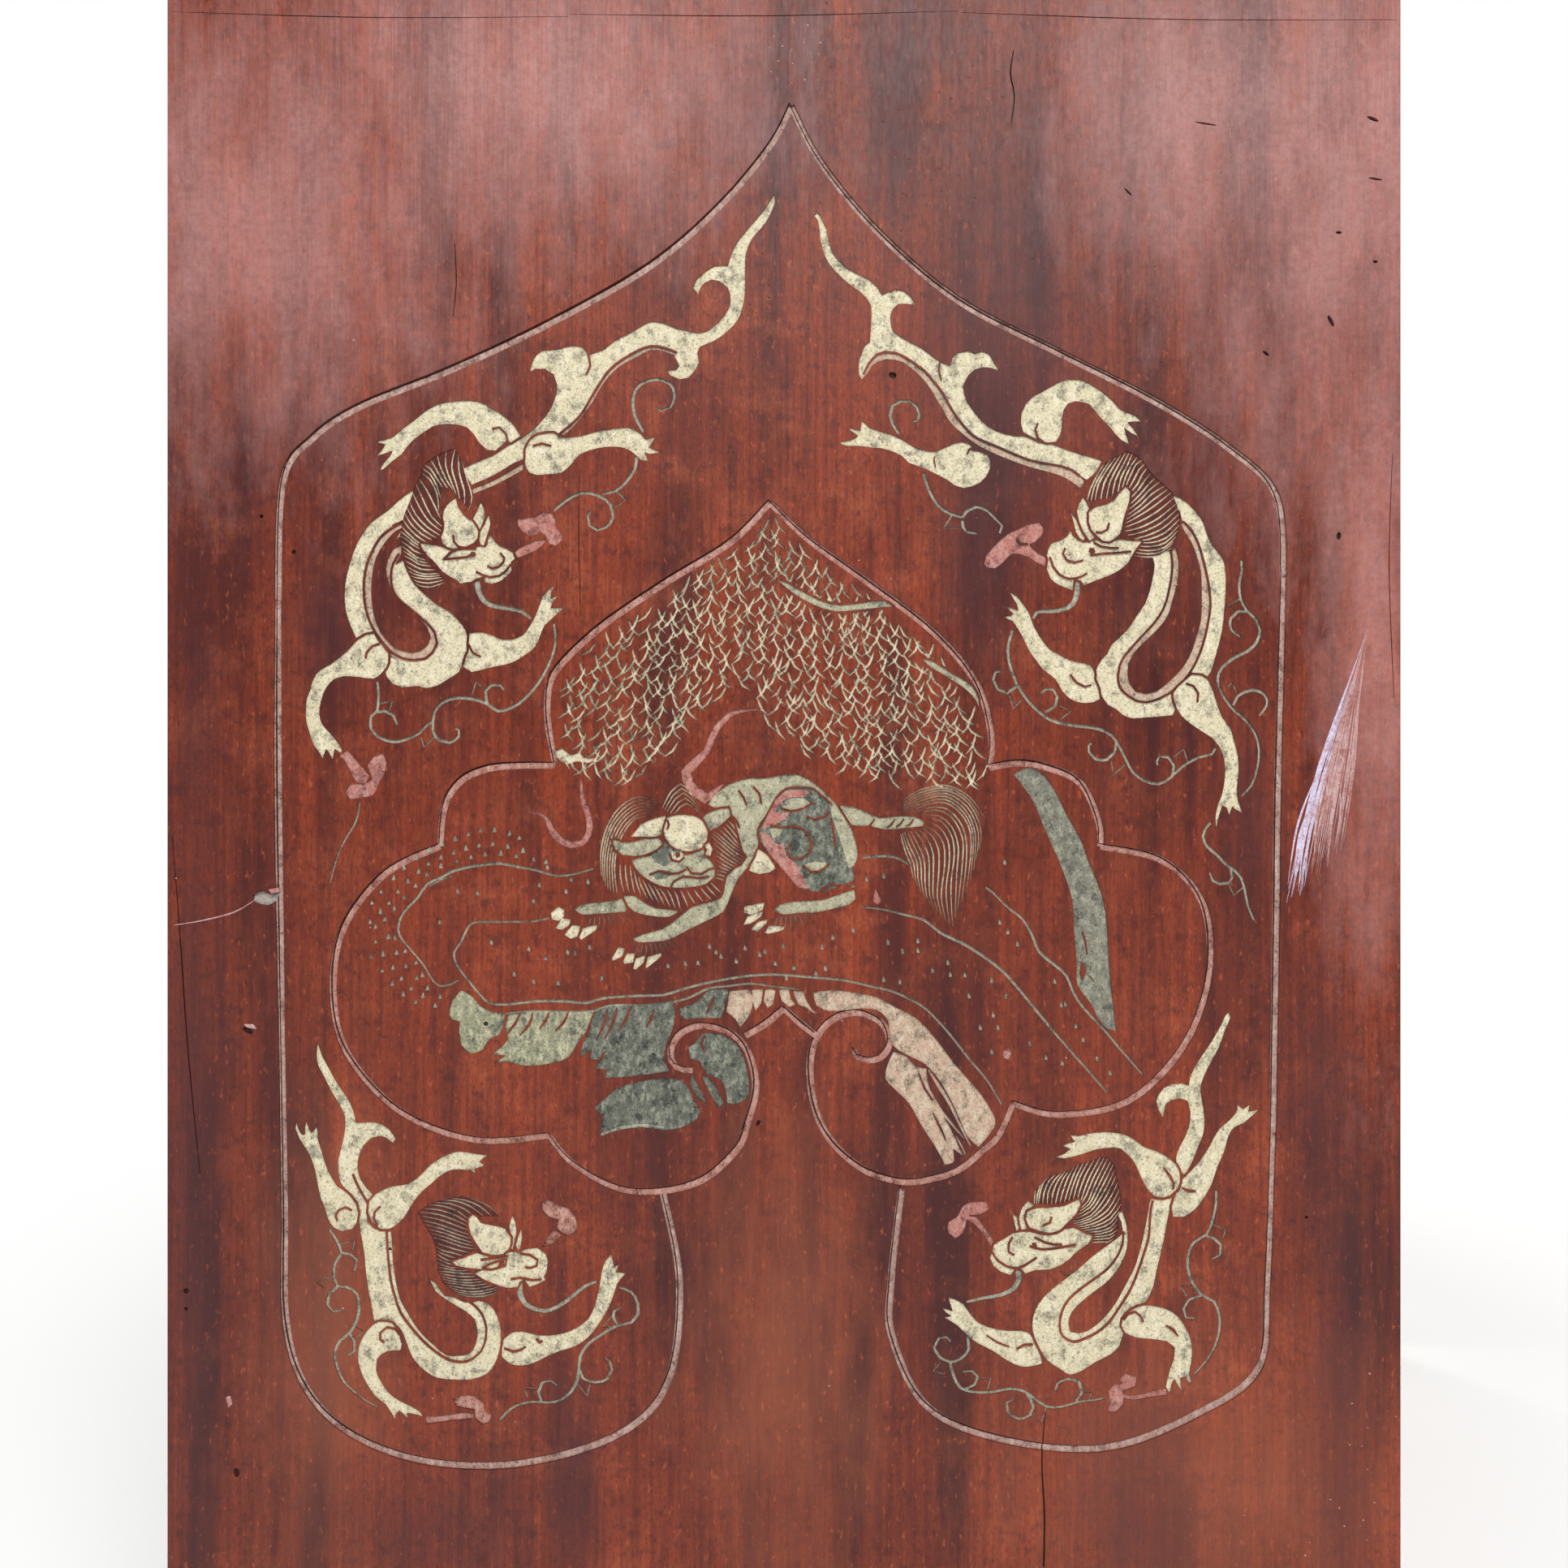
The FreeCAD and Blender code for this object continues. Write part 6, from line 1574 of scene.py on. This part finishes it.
def leaf_outline():
    """Outline of a leaf on the drawing, with the kunmen opening between its feet."""
    corner = FOOT_WIDTH + BRACKET_RADIUS
    brow = FOOT_STRAIGHT + BRACKET_RADIUS
    half = LEAF_WIDTH / 2
    left = [(0.0, LEAF_BOTTOM), (FOOT_WIDTH, LEAF_BOTTOM)]
    for step in range(ARCH_STEPS):
        angle = math.radians(180 - 90 * step / ARCH_STEPS)
        left.append((
            corner + BRACKET_RADIUS * math.cos(angle), FOOT_STRAIGHT + BRACKET_RADIUS * math.sin(angle)))
    left.append((corner, brow))
    cusp = (corner + CUSP_WIDTH, brow - CUSP_DROP)
    middle = ((cusp[0] + half) / 2, (cusp[1] + PEAK_HEIGHT) / 2 + ARCH_BULGE)
    left += [tuple(point) for point in arc_through(cusp, middle, (half, PEAK_HEIGHT), ARCH_STEPS)]
    right = [(LEAF_WIDTH - x, z) for x, z in reversed(left)]
    outline = left + [(half, PEAK_HEIGHT)] + right + [(LEAF_WIDTH, LEAF_TOP), (0.0, LEAF_TOP)]
    return [Vector(on_drawing(x, z)) for x, z in outline]


def inside(outline, spots):
    """Which of an array of spots lie inside a closed outline."""
    winding = numpy.zeros(len(spots), int)
    x, y = spots[:, 0], spots[:, 1]
    for start, end in zip(outline, outline[1:] + outline[:1]):
        side = (end.x - start.x) * (y - start.y) - (x - start.x) * (end.y - start.y)
        winding += (start.y <= y) & (end.y > y) & (side > 0)
        winding -= (start.y > y) & (end.y <= y) & (side < 0)
    return winding != 0


def mesh_drawing(shapes):
    """Corners and triangles of a drawing, and the colour of each triangle."""
    outline = leaf_outline()
    corners = []
    edges = []
    for points in [outline] + [points for _, points in shapes]:
        first = len(corners)
        corners += [Vector((point.x, -point.y)) for point in points]
        edges += [(first + index, first + (index + 1) % len(points)) for index in range(len(points))]
    found = geometry.delaunay_2d_cdt(corners, edges, [], 0, MERGE_DISTANCE, False)
    corners = numpy.array([(corner.x, -corner.y) for corner in found[0]])
    triangles = numpy.array(found[2])
    centres = corners[triangles].mean(axis=1)
    colours = numpy.where(inside(outline, centres), "film", "none").astype("<U8")
    for colour, points in shapes:
        low = numpy.array((min(point.x for point in points), min(point.y for point in points)))
        high = numpy.array((max(point.x for point in points), max(point.y for point in points)))
        near = numpy.flatnonzero(((centres >= low) & (centres <= high)).all(axis=1) & (colours != "none"))
        colours[near[inside(points, centres[near])]] = colour
    return corners, triangles, colours


def plate(name, leaf, corners, triangles, front, back):
    """A closed plate over some triangles of the drawing, between two depths of a leaf."""
    mirrored = leaf % 2 == 0
    used, triangles = numpy.unique(triangles, return_inverse=True)
    triangles = triangles.reshape(-1, 3)
    matrix = numpy.array(leaf_matrix(leaf))
    x = (corners[used, 0] - PHOTO_LEFT) * PIXEL
    z = GARDEN_FOOT + (PHOTO_FOOT - corners[used, 1]) * PIXEL
    if mirrored:
        x = LEAF_WIDTH - x
    layers = []
    for depth in (front, back):
        local = numpy.stack((x, numpy.full(len(x), depth), z, numpy.ones(len(x))), axis=1)
        layers.append((local @ matrix.T)[:, :3])
    count = len(used)
    directed = [(a, b) for corner in triangles for a, b in zip(corner, numpy.roll(corner, -1))]
    known = set(directed)
    walls = [(b, a, a + count, b + count) for a, b in directed if (b, a) not in known]
    faces = triangles.tolist() + (triangles[:, ::-1] + count).tolist() + walls
    if mirrored:
        faces = [face[::-1] for face in faces]
    mesh = bpy.data.meshes.new(name)
    mesh.from_pydata(numpy.concatenate(layers).tolist(), [], faces)
    mesh.update()
    rim = numpy.zeros(2 * count, numpy.float32)
    rim[numpy.array(walls).ravel()] = 1.0
    mesh.attributes.new("wall", "FLOAT", "POINT").data.foreach_set("value", rim)
    piece = bpy.data.objects.new(name, mesh)
    bpy.context.scene.collection.objects.link(piece)
    return piece


def pigment(name, colour, shade, fleck):
    """Chalky pigment, unevenly laid, with dirt in its hollows and pale flecks where it is thick."""
    material, tree, shader = new_material(name)
    place = object_position(tree)
    mottle = upright(tree, place, *MOTTLE)
    grit = upright(tree, place, *GRIT)
    thick = upright(tree, place, *THICKNESS)
    dirt = sum_of(
        tree, "ADD", ranged(tree, mottle, 0.50, 0.63, 0.0, 0.75), ranged(tree, grit, 0.52, 0.66, 0.0, 0.65))
    laid = blended(tree, ranged(tree, thick, 0.46, 0.62, 0.0, 0.85), colour, fleck)
    tree.links.new(blended(tree, dirt, laid, shade), shader.inputs["Base Color"])
    tree.links.new(ranged(tree, grit, 0.3, 0.7, 0.7, 0.95), shader.inputs["Roughness"])
    shader.inputs["Specular IOR Level"].default_value = PIGMENT_GLOSS
    height = sum_of(tree, "ADD", mottle, sum_of(tree, "MULTIPLY", grit, 0.5))
    add_bump(tree, shader, height, 0.5, 0.0005)
    return material


pigments = {colour: pigment(f"{colour}_pigment", *tones) for colour, tones in PIGMENTS.items()}


def ground_at_edges(leaf):
    """Grey ground, with the lacquer of the leaf's edges run over its outer walls."""
    material = pigment(f"grey_ground_{leaf}", *GROUND_GREY)
    tree = material.node_tree
    shader = tree.nodes["Principled BSDF"]
    wall = add_node(tree, "ShaderNodeAttribute", attribute_name="wall").outputs["Fac"]
    bare = shader.inputs["Base Color"].links[0].from_socket
    tree.links.new(blended(tree, wall, bare, EDGE_RED), shader.inputs["Base Color"])
    return material


def front_openings(leaf):
    """Notches for the plates of the front hinge, and holes for the shoe nails, on the drawing."""
    openings = []
    if leaf in (2, 3):
        for height in HINGE_HEIGHTS:
            low, high = height - HINGE_HEIGHT / 2, height + HINGE_HEIGHT / 2
            corners = ((-NOTCH_DEPTH, low), (NOTCH_DEPTH, low), (NOTCH_DEPTH, high), (-NOTCH_DEPTH, high))
            openings.append(("none", [Vector(on_drawing(x, z)) for x, z in corners]))
    for foot in (0.0, LEAF_WIDTH - FOOT_WIDTH):
        for share in NAIL_SHARES:
            hole = []
            for step in range(NAIL_SIDES):
                angle = 2 * math.pi * step / NAIL_SIDES
                x = foot + FOOT_WIDTH * share + NAIL_RADIUS * math.cos(angle)
                hole.append(Vector(on_drawing(x, NAIL_HEIGHT + NAIL_RADIUS * math.sin(angle))))
            openings.append(("none", hole))
    return openings


def build_front(leaf, shapes):
    """The lacquer film of a leaf, the ground under it and a plate for each pigment laid in it."""
    corners, triangles, colours = shapes
    body = f"leaf_{leaf}"
    film = plate(f"leaf_{leaf}_lacquer_film", leaf, corners, triangles[colours == "film"], 0.0, FILM)
    film.data.materials.append(front_lacquers[leaf])
    ground = plate(f"leaf_{leaf}_grey_ground", leaf, corners, triangles[colours != "none"], FILM, COAT)
    ground.data.materials.append(ground_at_edges(leaf))
    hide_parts(f"{body}_front_coat")
    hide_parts(f"{body}_line_inlay")
    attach(film, body)
    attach(ground, body)
    for colour, material in pigments.items():
        laid = triangles[colours == colour]
        if len(laid):
            depth = DEPTHS.get(colour, PIGMENT_DEPTH)
            piece = plate(f"leaf_{leaf}_{colour}_pigment", leaf, corners, laid, depth, FILM)
            piece.data.materials.append(material)
            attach(piece, body)


# Leaf 1 has its wear, leaves 2 and 3 have notches for the front hinge, and leaf 4 has neither
for group, marks in (((1,), wear), ((2, 3), []), ((4,), [])):
    carved = mesh_drawing(drawing + marks + front_openings(group[0]))
    for leaf in group:
        build_front(leaf, carved)

# Brass shoes, hinges, pins and nails.
# Cast and filed brass, browned with age in its hollows and rubbed bright where hands and floors touch it.

BRASS_BRIGHT = (0.62, 0.42, 0.16, 1.0)
BRASS_BROWN = (0.16, 0.095, 0.04, 1.0)
TARNISH = (1.0, 120.0, 6.0, 0.65)
SCRATCHES = (0.05, 900.0, 3.0, 0.6)


def aged_brass(name, bright_share):
    """Brass with brown tarnish and upright scratches, the brighter the larger its share."""
    material, tree, shader = new_material(name)
    place = object_position(tree)
    tarnish = upright(tree, place, *TARNISH)
    scratches = upright(tree, place, *SCRATCHES)
    tone = sum_of(
        tree, "ADD", ranged(tree, tarnish, 0.35, 0.65, 0.0, bright_share),
        ranged(tree, scratches, 0.4, 0.6, 0.0, 0.25))
    tree.links.new(blended(tree, tone, BRASS_BROWN, BRASS_BRIGHT), shader.inputs["Base Color"])
    tree.links.new(ranged(tree, tarnish, 0.35, 0.65, 0.55, 0.3), shader.inputs["Roughness"])
    shader.inputs["Metallic"].default_value = 1.0
    add_bump(tree, shader, scratches, 0.3, 0.0002)
    return material


shoe_brass = aged_brass("shoe_brass", 0.6)
hinge_brass = aged_brass("hinge_brass", 0.7)
nail_brass = aged_brass("nail_brass", 0.9)
for leaf in LEAVES:
    cover(f"leaf_{leaf}_shoes", shoe_brass)
    cover(f"leaf_{leaf}_brass_nails", nail_brass)
for line in ("hinge_1_2", "hinge_2_3", "hinge_3_4"):
    cover(f"{line}_left_plates", hinge_brass)
    cover(f"{line}_right_plates", hinge_brass)
    cover(f"{line}_pins", nail_brass)

# Floor, backdrop, light and camera.
# A plain pale floor under soft light from above, faded to white away from the screen. The camera
# stands square to the front of the first leaf, near enough that the leaf fills the picture from top
# to bottom.

FLOOR_HALF = 6.0
FLOOR_COLOUR = (0.86, 0.86, 0.85, 1.0)
FLOOR_NEAR = 0.55
FLOOR_FAR = 1.15
CAMERA_DISTANCE = 0.402
PHOTO_MIDDLE = 966
CAMERA_HEIGHT = GARDEN_FOOT + (PHOTO_FOOT - PHOTO_MIDDLE) * PIXEL
HALF_VIEW = math.radians(35.8)
WHITE = (1.0, 1.0, 1.0, 1.0)
DIFFUSE_LIGHT = 0.46
MIRRORED_LIGHT = 0.14
LEFT_SOFTBOX = (LEAF_WIDTH / 2 + 0.35, -1.9, 2.25)
SCREEN_MIDDLE = (0.0, 0.0, 0.9)

bpy.ops.mesh.primitive_plane_add(size=2 * FLOOR_HALF, location=(0.0, 0.0, 0.0))
floor = bpy.context.object
floor.name = "floor"
floor_paint, tree, shader = new_material("floor_paint")
shader.inputs["Base Color"].default_value = FLOOR_COLOUR
shader.inputs["Roughness"].default_value = 0.9
shader.inputs["Specular IOR Level"].default_value = 0.1
far = add_node(tree, "ShaderNodeVectorMath", {0: object_position(tree)}, operation="LENGTH").outputs["Value"]
light_path = add_node(tree, "ShaderNodeLightPath")
far_white = sum_of(
    tree, "MULTIPLY", ranged(tree, far, FLOOR_NEAR, FLOOR_FAR), light_path.outputs["Is Camera Ray"])
white = add_node(tree, "ShaderNodeEmission", {"Color": WHITE, "Strength": 1.0})
mixed = add_node(tree, "ShaderNodeMixShader", {0: far_white, 1: shader.outputs[0], 2: white.outputs[0]})
tree.links.new(mixed.outputs[0], tree.nodes["Material Output"].inputs["Surface"])
floor.data.materials.append(floor_paint)

world = bpy.data.worlds.new("studio")
bpy.context.scene.world = world
world.use_nodes = True
tree = world.node_tree
background = tree.nodes["Background"]
light_path = add_node(tree, "ShaderNodeLightPath")
lit = ranged(tree, light_path.outputs["Is Glossy Ray"], 0.0, 1.0, DIFFUSE_LIGHT, MIRRORED_LIGHT)
seen = sum_of(tree, "MAXIMUM", lit, light_path.outputs["Is Camera Ray"])
tree.links.new(seen, background.inputs["Strength"])
background.inputs["Color"].default_value = WHITE


def area_light(name, place, target, width, height, power):
    """A softbox that faces a target. Sizes are in metres and the power is in watts."""
    data = bpy.data.lights.new(name, "AREA")
    data.shape = "RECTANGLE"
    data.size = width
    data.size_y = height
    data.energy = power
    light = bpy.data.objects.new(name, data)
    light.location = place
    light.rotation_euler = (Vector(target) - Vector(place)).to_track_quat("-Z", "Y").to_euler()
    bpy.context.scene.collection.objects.link(light)


first_leaf = leaf_matrix(1)
view_target = first_leaf @ Vector((LEAF_WIDTH / 2, 0.0, CAMERA_HEIGHT))
camera_place = first_leaf @ Vector((LEAF_WIDTH / 2, -CAMERA_DISTANCE, CAMERA_HEIGHT))
area_light("left_softbox", first_leaf @ Vector(LEFT_SOFTBOX), view_target, 2.2, 1.4, 80.0)
area_light("right_softbox", (2.2, -2.2, 2.6), SCREEN_MIDDLE, 2.0, 2.0, 60.0)
area_light("back_softbox", (0.0, 3.0, 2.4), SCREEN_MIDDLE, 2.5, 2.0, 60.0)

camera_data = bpy.data.cameras.new("camera")
camera_data.lens = camera_data.sensor_width / (2 * math.tan(HALF_VIEW))
camera = bpy.data.objects.new("camera", camera_data)
camera.location = camera_place
camera.rotation_euler = (view_target - camera_place).to_track_quat("-Z", "Y").to_euler()
bpy.context.scene.collection.objects.link(camera)
bpy.context.scene.camera = camera
bpy.context.scene.view_settings.view_transform = "Standard"
